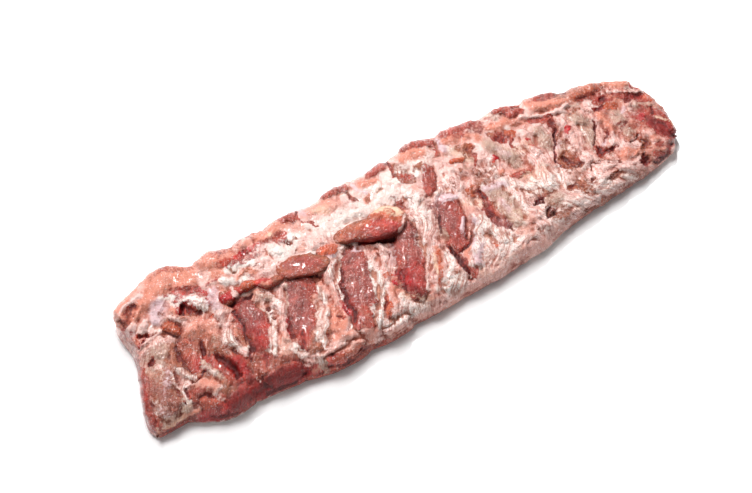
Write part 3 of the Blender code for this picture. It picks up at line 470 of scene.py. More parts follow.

# Hollows, holes and creases, dug into the relief and painted dark: partly the meat's own dark red and partly
# painted shade
HOLLOW_FORMS = (
    form(DARK_MEAT_AND_SHADE, -2.0, (-176, -25, 1), (-177.4, -31, 1.3), cover=0.7),
    form(DARK_MEAT_AND_SHADE, -2.0, (-170, -24, 1.1), (-164, -23.4, 0.9), (-158, -23, 0.8), cover=0.85),
    form(SALMON, 3.4, (-167, -31, 6.6), (-163, -34, 6.4), cover=0.75),
    wash(LEAN, 0.35, (-169, -33, 4), (-166, -37, 4)),
    form(DARK_MEAT_AND_SHADE, -3.0, (-150.6, -1, 2), (-152.6, -6, 2.4), (-154, -10, 1.4)),
    form(DARK_MEAT_AND_SHADE, -4.4, (-148, -15, 2), (-145.6, -21, 3.4), (-143.6, -29, 4), (-143.6, -37, 2.8)),
    form(OLIVE, 1.5, (-141, -2.6, 1.1), (-145, -7, 1.1), (-150.6, -13, 1.1)),
    form(DARK_MEAT_AND_SHADE, -1.4, (-128, -25, 1.8), (-131, -31, 1.4), cover=0.7),
    form(DARK_MEAT_AND_SHADE, -1.4, (-102, -11, 1.3), (-101, -3, 1.3), cover=0.7),
    form(DARK_MEAT_AND_SHADE, -1.8, (-84.6, 3, 1), (-83.8, 5.4, 0.9), cover=0.7),
    form(DARK_MEAT_AND_SHADE, -0.8, (-86, -11, 1.4), (-82, -8.4, 1.3), (-80, -11, 1.2), cover=0.5),
    form(LEAN, -0.8, (-76, 2, 1.4), (-75, -3, 1.4), cover=0.7),
    form(DARK_MEAT_AND_SHADE, -1.2, (-68, -33, 1.2), (-66.6, -35, 1), cover=0.55),
    form(DARK_MEAT_AND_SHADE, -2.4, (-44, 0, 1.2), (-48, -8, 1.3), (-53, -18, 1.6), (-56, -28, 2), (-58, -37, 1.8),
         (-61, -43, 1.4), cover=0.62),
    form(DARK_MEAT_AND_SHADE, -0.9, (-45, -2, 0.6), (-41, -5.6, 0.6), (-37, -8.4, 0.6), cover=0.6),
    form(DARK_MEAT_AND_SHADE, -1.0, (-59.6, 1, 0.7), (-60, -5, 0.7), cover=0.7),
    form(DARK_MEAT_AND_SHADE, -0.9, (-10, -7, 0.7), (-14.4, -14, 0.7), cover=0.6),
    form(BROWN, -0.6, (-18, -4, 1), (-18.6, -9, 1.2), cover=0.7),
    wash(ORANGE, 0.6, (-25, -22, 2.2), (-20, -21.6, 2.4)),
    form(DARK_MEAT_AND_SHADE, -1.6, (38.6, 4, 0.8), (34.4, -2, 1.2), (30.4, -8, 0.9), (28, -13.6, 0.8), cover=0.75),
    form(LEAN, -2.4, (24.6, -25, 2), (25.4, -34, 3), (25, -42, 3), (22.6, -50, 2.2), (20, -59, 1.2)),
    form(DARK_MEAT_AND_SHADE, -1.8, (23.6, -30, 1.2), (24, -40, 2), (22.6, -50, 1.8), (20.6, -57, 1), cover=0.65),
    form(DARK_MEAT_AND_SHADE, -1.6, (73.4, 5, 0.8), (71, -0.6, 1.1), cover=0.8),
    form(DARK_MEAT_AND_SHADE, -1.0, (69, -33, 1), (69.6, -40, 1), cover=0.55),
    form(BROWN, -1.6, (97, -13, 1.6), (101, -18, 3.4), (107, -23, 4.8), (111, -27, 3.6)),
    form(DARK_MEAT_AND_SHADE, -3.2, (96, -29, 2), (102, -28.4, 2.6), cover=0.7),
    wash(PLUM, 0.3, (98, -28, 2.6), (104, -26, 2.4)),
    form(OLIVE, 0.8, (108, -34, 6), (113, -31, 4.6)),
    wash(BROWN, 0.5, (104, -36, 4), (109, -40, 3.4)),
    form(DARK_MEAT_AND_SHADE, -3.2, (101, -37.6, 2.8), (97.6, -43, 2.2), (103, -42.6, 2.4), cover=0.6),
    form(BROWN, 0.4, (101, -50, 5), (109, -48, 5), cover=0.6),
    form(DARK_MEAT_AND_SHADE, -3.8, (188, -19.6, 0.9), (193, -19, 1.1), (198.4, -17.2, 0.8)),
    form(BROWN, -0.5, (198, -10, 2.4), (205, -11, 2), cover=0.5),
)

# The front edge: folds of fat and lumps of meat between the rib ends
FRONT_EDGE_FORMS = (
    form(ORANGE, 1.4, (-171, -41, 3.6), (-170, -48, 5), (-166, -52, 4.6), cover=0.75),
    form(SALMON, 0.6, (-178, -48, 2.6), (-172, -54, 2.6)),
    form(LEAN, 1.2, (-158, -53, 6.4), (-150, -51, 6), (-145, -47, 4)),
    form(LEAN, 1.6, (-130, -51, 5), (-122, -53, 8), (-113, -53, 6.4), (-107, -55, 4)),
    form(LEAN, 0.4, (-131, -60, 3.4), (-120, -62, 3.4), (-109, -61, 3), cover=0.8),
    form(BLOOD, -0.8, (-123.6, -35, 3), (-125, -39, 2), cover=0.6),
    form(SALMON, 1.0, (-106, -58, 4), (-100, -62, 3.6)),
    wash(LEAN, 0.6, (-109, -50, 4.4), (-102, -55, 4)),
    form(OLIVE, 1.4, (-94.6, -54, 2), (-96, -60, 2.8), (-98, -65, 2)),
    form(LEAN, 2.4, (-91, -60, 4), (-84, -61, 5), (-75, -61, 5), (-68, -59, 4)),
    wash(ORANGE, 0.6, (-88, -62, 3), (-78, -63, 4), (-70, -60, 3)),
    form(DARK_MEAT_AND_SHADE, -1.0, (-88, -56, 1.8), (-82, -55, 1.8), cover=0.55),
    form(SALMON, 0.8, (-70, -51, 4), (-77, -48, 4), (-82, -54, 3.4)),
    form(BROWN, -0.8, (-63.6, -51, 1.5), (-64.6, -58, 1.6), cover=0.7),
    form(SALMON, 0.8, (-58, -55, 4.6), (-60, -60, 3.6)),
    form(ORANGE, 2.4, (-50, -62, 3), (-43, -63, 4), (-36, -61, 4.6), (-31, -58.6, 3)),
    form(CREAM, 0.6, (-44, -58, 1.8), (-41, -57, 1.6), cover=0.7),
    form(OLIVE, 0.8, (-24, -59, 4), (-16, -57.6, 4)),
    form(LEAN, 2.0, (-14.6, -64.4, 2.2), (-10, -64, 3.2), (-6, -62.4, 2.4)),
    form(ORANGE, 0.6, (1, -64.6, 2.6), (8.6, -63.4, 2.8), cover=0.6),
    form(SALMON, 1.0, (22, -61, 4.6), (40, -60, 5), (58, -59, 5), (76, -58, 4.6)),
    wash(TALLOW, 0.45, (30, -58, 2.6), (48, -57, 2.6), (66, -55, 2.4)),
    wash(BROWN, 0.55, (35, -57.6, 1.3), (41, -54.6, 1.6)),
    form(SALMON, 0.8, (87, -60, 3), (94, -57, 2.8)),
    form(PINK, 1.2, (88, -45, 4), (93, -49, 4), cover=0.7),
    form(PINK, 1.6, (122, -42, 6), (133, -47, 5), (116, -50, 4)),
    wash(OLIVE, 0.5, (116, -48, 2.4), (124, -50, 2)),
    wash(SALMON, 0.5, (118, -40, 2.4), (124, -36, 2.6)),
    form(PINK, 1.6, (146, -31, 7), (153, -27, 6), (147, -46, 6), (158, -48, 4)),
    form(BROWN, -1.6, (125, -30.6, 2), (129, -30, 3), (134, -33, 3), cover=0.9),
    form(BROWN, -0.6, (132, -37, 2.4), (137, -40, 2.4), cover=0.6),
    form(BROWN, -1.6, (142, -34.6, 1.6), (145, -33, 1.2), cover=0.8),
    form(SALMON, 1.0, (134, -24, 4), (139, -22, 4), cover=0.4),
    form(BROWN, -1.3, (147, -27, 0.8), (150, -22, 0.9), (157, -22, 0.9), (164, -26, 1), (170, -30, 1),
         cover=0.6),
    form(PINK, 1.4, (156, -26, 3), (164, -30, 3), (170, -34, 2)),
    form(BROWN, -1.0, (164, -31, 0.8), (170, -33.4, 0.9), cover=0.6),
    form(BROWN, -2.2, (152, -38.4, 2), (158, -39.4, 3.6), (164, -39, 3), cover=0.85),
    form(OLIVE, 0.8, (163, -44, 3), (168, -46, 3), cover=0.6),
    form(PINK, 1.0, (168, -36, 2.4), (173, -42, 3.4), cover=0.8),
    form(SALMON, 1.0, (174, -28, 3.4), (181, -26, 4)),
    wash(BLOOD, 0.25, (175, -31, 2.4), (181, -27, 2)),
    form(DARK_MEAT_AND_SHADE, -3.0, (189, -35, 2.2), (186, -39, 4), (183, -44, 3), cover=0.7),
    wash(BROWN, 0.5, (188, -33, 3), (190, -40, 3)),
    form(SALMON, 1.4, (183, -32, 1.6), (188, -29.6, 1.5), (193, -33, 1.4)),
    form(BROWN, -2.0, (192, -30, 3), (197, -28, 4), (196, -24, 3)),
    form(SALMON, 2.6, (201, -17.6, 3), (205, -23, 4.4), (206, -28, 3.4)),
    form(PINK, 0.6, (202, -18, 2), (206, -22, 2.8), cover=0.6),
    wash(LEAN, 0.8, (205, -33, 2.6), (200, -37, 3), (196, -42, 3.4)),
    form(SALMON, 0.6, (198, -34, 1.8), (202, -40, 2), cover=0.7),
    form(DARK_MEAT_AND_SHADE, -1.0, (190, -46, 2.6), (200, -44.6, 2.4), (210, -40, 2.2), cover=0.6),
    wash(LEAN, 0.8, (206, -40.6, 1.8), (213, -37, 2)),
)

# The far end: dark meat under the pale rim
FAR_END_FORMS = (
    wash(LEAN, 1.0, (196, 24, 5), (205, 22, 5), (212, 20, 4.6), (220, 14, 5), (225, 6, 5)),
    wash(LEAN, 0.6, (210, -2, 6), (214, -14, 7), (216, -28, 7), (212, -38, 5)),
    wash(BROWN, 0.7, (232, 12, 4), (234, -4, 4), (231, -20, 4), (224, -34, 4)),
    form(DARK_MEAT_AND_SHADE, -1.8, (198, 24, 3.4), (200, 23.6, 3)),
    form(SALMON, 0.6, (204, 25, 2.2), (209, 20, 2.2), (206, 17, 1.8), cover=0.5),
    form(DARK_MEAT_AND_SHADE, -0.8, (188.6, 18.4, 2.2), (194, 17, 2)),
    form(ORANGE, 0.4, (195, 16, 2), (199, 14.4, 3), (203, 13.4, 2)),
    form(PINK, 1.4, (206, 28.6, 1), (213, 24, 1.1), (221, 18.6, 1.1), (227, 15, 0.9)),
    form(LEAN, -0.4, (214, 19, 3), (221, 14, 3.4), (226, 10, 2.6)),
    form(DARK_MEAT_AND_SHADE, -0.8, (213, 13, 3.6), (217, 15, 3.4), (222, 11, 2.6), cover=0.75),
    form(ORANGE, 0.4, (227, 8, 2.6), (229, 1, 2.4), cover=0.6),
    form(OLIVE, 0.6, (216, 4, 4), (222, 1, 3), (224, -6, 3.4), cover=0.7),
    form(DARK_MEAT_AND_SHADE, -1.4, (223, -2, 1.6), (220, -7, 2.4), cover=0.65),
    form(BLOOD, -0.4, (207, -6, 2), (210.6, -4.6, 2.6)),
    form(DARK_MEAT_AND_SHADE, -0.8, (214, -8, 2.2), (214, -14, 3.4), (212, -20, 3), cover=0.7),
    form(LEAN, -1.0, (217, -18, 4.6), (217.6, -26, 5.4), (216, -33, 4)),
    form(DARK_MEAT_AND_SHADE, -1.0, (217, -20, 3.6), (217.6, -26, 4.2), (215.4, -33, 3), cover=0.8),
    form(SALMON, 1.2, (226, -12, 2.4), (225.6, -21, 2.2), (223, -30, 2.4), (219, -37, 2)),
    form(CREAM, 0.6, (228.6, -12, 1), (227.6, -22, 1), (225, -30, 1), cover=0.3),
)

# Small spots of blood, fresh cuts and glossy knobs
SPOT_FORMS = (
    wash(BLOOD, 0.75, (-95, -15, 0.6), (-98, -22, 0.7), (-102, -29.6, 0.7)),
    form(BLOOD, -0.4, (-60.8, -30, 1.4), (-62.4, -34.6, 1.2), cover=0.85),
    form(SALMON, 3.0, (-22, -32.6, 3.2), (-19, -29.6, 2.4)),
    wash(BLOOD, 0.8, (-22.4, -33, 2.2), (-20.4, -30.6, 1.4)),
    form(SALMON, 1.2, (-25.6, -35.6, 2.4), (-24, -38.6, 1.8)),
    wash(BLOOD, 0.62, (67, 22, 2.6), (69, 20.4, 1.9)),
    form(ORANGE, 0.8, (73, 35, 2), (77, 34, 2.6), (80, 32.6, 1.5)),
    form(BROWN, -0.4, (73, 25, 1.3), (72.6, 22.6, 1), cover=0.8),
    form(OLIVE, -1.0, (77.6, 27.6, 0.8), (76, 24.6, 0.8), (79, 22.6, 0.9), cover=0.7),
    form(DARK_MEAT_AND_SHADE, -1.2, (80.6, 22.6, 0.8), (78, 19.6, 0.7), cover=0.6),
    form(DARK_MEAT_AND_SHADE, -1.2, (78.6, 16.4, 0.7), (82, 15.6, 0.9), (84, 17.6, 0.7), cover=0.6),
    form(ORANGE, 1.2, (66, 3.6, 2.4), (67.6, 7, 2.4), (70, 9.4, 1.3)),
    wash(BLOOD, 0.85, (96.6, 18.8, 2), (99.6, 20, 2.3), (100, 23, 1.5)),
    form(SALMON, 0.5, (95.4, 8.6, 2.6), (93, 5.6, 2)),
    form(BROWN, -0.6, (92.6, 4.6, 1), (94.6, 3.6, 0.9), cover=0.8),
    form(LEAN, 1.2, (100.6, -0.8, 1.8), (106, -1.2, 2.8), (112.6, -1.6, 2)),
    form(SALMON, -0.4, (129.6, 24, 2.2), (129, 17, 3.2), (130.6, 11.6, 2), cover=0.5),
    wash(BLOOD, 0.72, (129.6, 22, 1.5), (128.6, 17, 2.3), (130.6, 12.6, 1.1)),
    form(SALMON, -0.3, (161, 17, 3), (157.4, 12, 3.2), cover=0.5),
    wash(BLOOD, 0.7, (161.6, 17.4, 2), (158.4, 13.6, 2.2), (157, 11, 1.5)),
    form(SALMON, 0.4, (37.6, 30, 2.4), (37, 27.6, 1.8), cover=0.6),
    form(OLIVE, -0.8, (33.4, 17, 1.6), (34, 15.6, 1.2), cover=0.7),
    form(DARK_MEAT_AND_SHADE, -0.8, (37.6, 19.4, 1.2), (39.6, 18.4, 1), cover=0.4),
    form(DARK_MEAT_AND_SHADE, -0.6, (49, 18.6, 1.2), (46, 20, 1), cover=0.5),
    # A painted highlight: pale silver at the upper end of the big muscle beside the far flap
    form(SILVER, 0.8, (-30.6, 6, 2.6), (-24.6, 6, 2.6), cover=0.8),
    form(SALMON, 0.5, (19, -55, 2.4), (17, -57, 1.6), cover=0.5),
)

# What the muscle flaps throw into shadow, and the meat just under them
FLAP_BED_FORMS = (
    form(DARK_MEAT_AND_SHADE, -1.4, (-22, 10, 1.6), (-16, 8, 3), (-8, 3.6, 3), (-1, 0.6, 1.8)),
    form(DARK_MEAT_AND_SHADE, -1.2, (-73, 11, 1.4), (-66, 6.6, 1.4), (-58.6, 1.6, 1.6)),
    form(DARK_MEAT_AND_SHADE, -1.6, (-120, 14, 1.6), (-110, 13, 1.4), (-103, 13.6, 1.4), cover=0.8),
    form(ORANGE, 1.0, (-46, 18, 3.6), (-39, 16.6, 3), (-42, 13, 2.6)),
    form(SILVER, 0.8, (-52, 12, 2), (-46, 12, 2.2), (-42, 10, 1.6), cover=0.6),
    form(BROWN, 1.6, (-78, 13.6, 3.4), (-74, 13.6, 3.6)),
)

# Thin washes over everything: painted shade that darkens the meat where it faces away from the light, redder
# and darker meat, and films of pale fat
WASH_FORMS = (
    # The near end and its lower edge, where the meat is darkest: painted shade on the faces turned from the
    # light, and darker meat on the top beside them
    wash(BROWN, 0.42, (-184, -12, 9), (-190, -26, 10), (-196, -36, 8)),
    wash(LEAN, 0.8, (-192, 10, 3), (-199, -4, 5), (-206, -18, 6), (-211, -32, 6)),
    wash(DARK_MEAT_AND_SHADE, 0.5, (-200, -16, 2.4), (-204, -27, 3), (-207, -38, 3)),
    wash(LEAN, 0.75, (-206, -50, 4), (-190, -51, 6), (-176, -55, 7), (-160, -58, 8)),
    wash(DARK_MEAT_AND_SHADE, 0.9, (-200, -52, 3.4), (-184, -54, 4.4), (-168, -58, 5), (-158, -56, 6), (-146, -54, 6)),
    wash(LEAN, 0.7, (-160, -60, 6), (-132, -64, 8), (-104, -68, 7), (-76, -70, 6), (-54, -70, 5)),
    wash(DARK_MEAT_AND_SHADE, 0.85, (-138, -56, 5), (-128, -54, 6), (-118, -55, 6), (-110, -60, 4)),
    wash(DARK_MEAT_AND_SHADE, 0.8, (-150, -64, 4), (-124, -69, 4), (-96, -71, 4), (-64, -71, 4), (-56, -66, 4)),
    wash(BLOOD, 0.25, (-150, -56, 6), (-132, -58, 7), (-116, -58, 6), (-86, -66, 4)),
    wash(DARK_MEAT_AND_SHADE, 0.4, (-149, -30, 5), (-144, -42, 5), (-140, -48, 4)),
    wash(DARK_MEAT_AND_SHADE, 0.4, (-150, -16, 4), (-146, -26, 4)),
    wash(LEAN, 0.5, (-174, -34, 6), (-168, -46, 7), (-156, -52, 7)),
    wash(BROWN, 0.6, (-130, -36, 6), (-126, -44, 7), (-118, -46, 7)),
    wash(LEAN, 0.45, (-146, -38, 6), (-134, -42, 6), (-128, -50, 6)),
    wash(BROWN, 0.45, (-158, 2, 8), (-146, -6, 8), (-144, -18, 7), (-130, -14, 5)),
    # Redder meat along the back strip
    wash(BLOOD, 0.24, (-150, 44, 5), (-142, 42, 6), (-134, 34, 6), (-128, 26, 5)),
    wash(LEAN, 0.2, (-148, 46, 5), (-136, 40, 4), (-132, 24, 5), (-138, 16, 6)),
    wash(LEAN, 0.32, (-138, 64, 5), (-126, 60, 6), (-112, 58, 6), (-102, 56, 5)),
    wash(BLOOD, 0.26, (-108, 46, 5), (-96, 43, 6), (-84, 45, 6), (-62, 45, 5)),
    wash(LEAN, 0.3, (-104, 44, 4), (-90, 42, 5), (-62, 42, 4)),
    wash(BROWN, 0.4, (-96, 32, 4), (-86, 30, 5)),
    # Meat that shows between the fat of the middle and the far half
    wash(BLOOD, 0.45, (-62, 8, 3), (-58, 3, 3)),
    wash(BLOOD, 0.35, (-6, 6, 3), (-2, 2, 3)),
    wash(LEAN, 0.35, (-50, 8, 4), (-40, 6, 5), (-32, 6, 4)),
    wash(LEAN, 0.45, (38, -14, 5), (36, -22, 6)),
    wash(LEAN, 0.5, (20, -60, 5), (26, -52, 4)),
    wash(LEAN, 0.35, (78, 56, 6), (92, 56, 6)),
    wash(BROWN, 0.5, (64, 20, 5), (66, 8, 6), (64, 0, 4)),
    wash(BROWN, 0.45, (148, 8, 5), (150, -6, 6)),
    wash(LEAN, 0.38, (180, -4, 5), (192, -6, 7), (204, -6, 6), (196, -18, 5)),
    wash(LEAN, 0.6, (218, -2, 5), (222, -14, 6), (224, -26, 6), (218, -36, 5)),
    wash(DARK_MEAT_AND_SHADE, 0.45, (220, -18, 3), (222, -28, 4), (216, -36, 3)),
    wash(BROWN, 0.5, (176, 44, 5), (190, 43, 6), (204, 38, 5)),
    wash(BROWN, 0.55, (118, -56, 4), (134, -56, 5), (152, -54, 5), (176, -48, 4)),
    # The lower ends of the muscles between the ribs, and the lower edge below them, darkened as painted shade
    wash(DARK_MEAT_AND_SHADE, 0.4, (-50, -24, 5), (-56, -36, 6), (-60, -44, 5)),
    wash(DARK_MEAT_AND_SHADE, 0.4, (-6, -26, 5), (-12, -38, 6), (-16, -50, 5)),
    wash(DARK_MEAT_AND_SHADE, 0.3, (-88, -22, 5), (-94, -32, 5)),
    wash(DARK_MEAT_AND_SHADE, 0.35, (-118, -12, 5), (-120, -24, 4)),
    wash(DARK_MEAT_AND_SHADE, 0.3, (38, -12, 5), (34, -24, 5)),
    wash(DARK_MEAT_AND_SHADE, 0.7, (-139, -26, 4), (-141, -38, 5), (-142, -50, 6)),
    wash(DARK_MEAT_AND_SHADE, 0.9, (-156, -53, 6), (-148, -51, 6)),
    wash(DARK_MEAT_AND_SHADE, 0.9, (-130, -52, 5), (-121, -54, 7), (-110, -55, 5)),
    wash(LEAN, 0.5, (226, -8, 4), (228, -20, 4), (224, -32, 4)),
    wash(LEAN, 0.5, (85, 62, 5), (96, 61, 5), (107, 60, 4)),
    wash(OLIVE, 0.8, (-94.6, -54, 2.4), (-96, -60, 3), (-98, -66, 2.4)),
    wash(CREAM, 0.5, (-95, -52, 1.6), (-97, -58, 1.6)),
    wash(BLOOD, 0.3, (-116, 24, 4), (-104, 25, 5), (-92, 21, 5)),
    wash(BLOOD, 0.25, (-186, 44, 5), (-186, 32, 5), (-184, 20, 4)),
    wash(BLOOD, 0.35, (-146, 32, 5), (-142, 28, 5)),
    wash(BLOOD, 0.28, (-158, -16, 6), (-144, -24, 6), (-142, -34, 6)),
    wash(BLOOD, 0.4, (-176, -54, 6), (-166, -54, 6)),
    wash(BLOOD, 0.3, (-60, -28, 4), (-62, -34, 4)),
    wash(BLOOD, 0.35, (-18, -28, 5), (-16, -34, 4)),
    wash(ORANGE, 0.4, (-110, -66, 4), (-80, -69, 4), (-50, -67, 4), (-20, -66, 4), (14, -66, 4)),
    # Whiter fat beside the muscles, along the far front and on the back strip
    wash(CREAM, 0.6, (-112, -26, 3), (-116, -34, 3.4)),
    wash(CREAM, 0.6, (-104, -38, 4), (-102, -45, 4)),
    wash(CREAM, 0.5, (-104, -2, 2), (-103, -9, 2.4)),
    wash(CREAM, 0.55, (-70, -14, 2.2), (-74, -22, 3), (-77, -32, 2.4)),
    wash(CREAM, 0.65, (-44, -40, 3), (-46, -50, 4), (-48, -57, 3)),
    wash(CREAM, 0.4, (-78, -52, 3), (-72, -56, 3)),
    wash(CREAM, 0.6, (-27, -15, 3), (-31, -24, 4), (-34, -33, 3)),
    wash(CREAM, 0.45, (13, -3, 2.6), (10, -16, 3), (8, -30, 3)),
    wash(CREAM, 0.65, (6, -52, 5), (14, -54, 5)),
    wash(CREAM, 0.7, (102, -16, 5), (110, -20, 6), (122, -20, 6)),
    wash(CREAM, 0.55, (78, -54, 4), (90, -53, 4), (100, -52, 3)),
    wash(CREAM, 0.5, (116, -42, 5), (128, -43, 5), (148, -42, 6)),
    wash(CREAM, 0.45, (94, -4, 4), (97, -10, 4)),
    wash(CREAM, 0.55, (-22, 32, 6), (-12, 31, 6), (-2, 30, 5), (24, 31, 6)),
    wash(CREAM, 0.5, (36, 42, 5), (44, 42, 5)),
    wash(CREAM, 0.45, (-8, 54, 3), (-2, 52, 3)),
    # Films of fat along the front edge and between the ribs
    wash(PINK, 0.55, (-56, -62, 5), (-20, -63, 6), (10, -63, 6), (60, -62, 6), (100, -60, 5)),
    wash(PINK, 0.5, (-104, -52, 4), (-86, -52, 4), (-74, -54, 5), (-60, -54, 5)),
    wash(CREAM, 0.5, (-44, -57, 4), (-30, -56, 5), (-18, -55, 4)),
    wash(CREAM, 0.75, (6, -58, 5), (12, -54, 5)),
    wash(PINK, 0.5, (38, -54, 5), (66, -54, 5), (94, -54, 5)),
    wash(CREAM, 0.4, (-32, -14, 3), (-31, -26, 4), (-34, -34, 3)),
    wash(CREAM, 0.35, (12, -2, 3), (11, -14, 3), (9, -26, 3)),
    wash(CREAM, 0.75, (54, -26, 5), (51, -32, 6)),
    wash(PINK, 0.5, (68, 20, 5), (66, 12, 4)),
    wash(PINK, 0.5, (-78, 42, 4), (-72, 42, 4)),
    wash(CREAM, 0.4, (-118, -30, 2.4), (-114, -28, 2.4)),
    wash(TALLOW, 0.5, (-202, -42, 4), (-188, -42, 5)),
    wash(CREAM, 0.4, (50, 42, 3), (54, 40, 3), (68, 54, 4)),
    wash(CREAM, 0.4, (150, -42, 5), (164, -43, 5), (164, -53, 4)),
    # Browner patches of the back strip and the far half
    wash(BROWN, 0.5, (36, 44, 5), (38, 38, 5), (38, 54, 4)),
    wash(BLOOD, 0.3, (36, 43, 3), (39, 40, 3)),
    wash(BROWN, 0.6, (10, 24, 5), (10, 17, 6)),
    wash(BROWN, 0.28, (-4, 42, 4), (-30, 42, 5), (22, 42, 4)),
    wash(LEAN, 0.22, (-144, 62, 6), (-130, 56, 6)),
    wash(LEAN, 0.25, (-104, 55, 5), (-90, 54, 5)),
    wash(LEAN, 0.35, (94, 55, 6), (108, 54, 6), (122, 53, 5)),
    wash(BROWN, 0.45, (80, 18, 5), (82, 6, 6), (94, 18, 4)),
    wash(DUSK, 0.7, (66, -28, 4), (69, -33, 4)),
    wash(BROWN, 0.45, (136, -18, 5), (136, -42, 5)),
    wash(BROWN, 0.35, (192, -18, 5), (193, -20, 4)),
    wash(DARK_MEAT_AND_SHADE, 0.75, (212, -15, 4), (216, -23, 6), (218, -30, 5)),
    wash(TALLOW, 0.6, (219, -12, 1.5), (224, -20, 1.5), (226, -28, 1.6)),
    wash(LEAN, 0.4, (-144, -40, 4), (-144, -46, 4)),
    wash(BROWN, 0.4, (-186, -28, 5), (-188, -34, 4)),
    wash(BROWN, 0.4, (-158, 30, 5), (-160, 24, 4)),
    # Salmon and tallow tints
    wash(LEAN, 0.5, (-118, 20, 5), (-115, 16, 5)),
    wash(SALMON, 0.55, (-102, 18, 5), (-104, 14, 4)),
    wash(SALMON, 0.6, (-60, 6, 5), (-61, 2, 4)),
    wash(SALMON, 0.5, (-188, 42, 6), (-174, 42, 5)),
    wash(LEAN, 0.22, (-186, 28, 6), (-180, 18, 6)),
    wash(SALMON, 0.45, (-76, -60, 5), (-60, -56, 5)),
    wash(SALMON, 0.4, (-46, -66, 4), (-20, -66, 4), (22, -66, 4)),
    wash(SALMON, 0.45, (80, -60, 4), (96, -55, 5)),
    wash(LEAN, 0.55, (24, -53, 4), (24, -56, 4)),
    wash(DUSK, 0.6, (39, 8, 6), (38, -8, 7)),
    wash(TALLOW, 0.4, (60, -2, 4), (66, -8, 4)),
    wash(DUSK, 0.4, (-4, 18, 5), (-6, 24, 4)),
    wash(TALLOW, 0.45, (80, -28, 4), (84, -34, 4)),
    wash(TALLOW, 0.4, (108, -4, 5), (112, -8, 5), (122, -6, 4)),
    wash(TALLOW, 0.35, (80, 42, 4), (84, 30, 4)),
    wash(TALLOW, 0.35, (118, 18, 5), (128, 18, 4)),
    wash(DUSK, 0.3, (104, 55, 4), (108, 45, 4)),
    # The dusky upper halves of the muscles, and their broken outlines
    wash(DUSK, 0.5, (-111, 9, 5), (-113, 1, 7), (-113, -6, 5)),
    wash(DUSK, 0.5, (-77, 4, 6), (-83, -10, 8), (-90, -22, 7)),
    wash(DUSK, 0.5, (-34, -1, 8), (-42, -16, 10), (-46, -27, 8)),
    wash(DUSK, 0.5, (12, 6, 5), (6, -6, 8), (1, -15, 8)),
    wash(SALMON, 0.35, (-52, -38, 6), (-56, -45, 5)),
    wash(SALMON, 0.55, (-71, -12, 3), (-76, -26, 4), (-84, -36, 4.4)),
    wash(CREAM, 0.6, (-74, -20, 1.6), (-80, -31, 2), (-88, -41, 2)),
    wash(CREAM, 0.6, (-26, -8, 2), (-31, -20, 2.6), (-38, -34, 2.6)),
    wash(PINK, 0.5, (-108, -18, 3), (-112, -26, 3)),
    wash(TALLOW, 0.4, (-20, -44, 4), (-12, -53, 4)),
    wash(BLOOD, 0.25, (-4, -26, 6), (-10, -38, 6)),
    wash(TALLOW, 0.4, (-209, 8, 3), (-206, -8, 3)),
    wash(DUSK, 0.35, (-193, -6, 3), (-189, -24, 4), (-189, -40, 4)),
    wash(LEAN, 0.5, (-204, -34, 4), (-204, -50, 4)),
    wash(DARK_MEAT_AND_SHADE, 0.3, (-136, -30, 5), (-122, -38, 6), (-112, -46, 6)),
)

RACK_FORMS = (
    TINT_FORMS + NEAR_END_FORMS + BACK_STRIP_FORMS + RIB_BAND_FORMS + VALLEY_FORMS + FAT_SEAM_FORMS
    + HOLLOW_FORMS + FRONT_EDGE_FORMS + FAR_END_FORMS + SPOT_FORMS + WASH_FORMS + FLAP_BED_FORMS
)

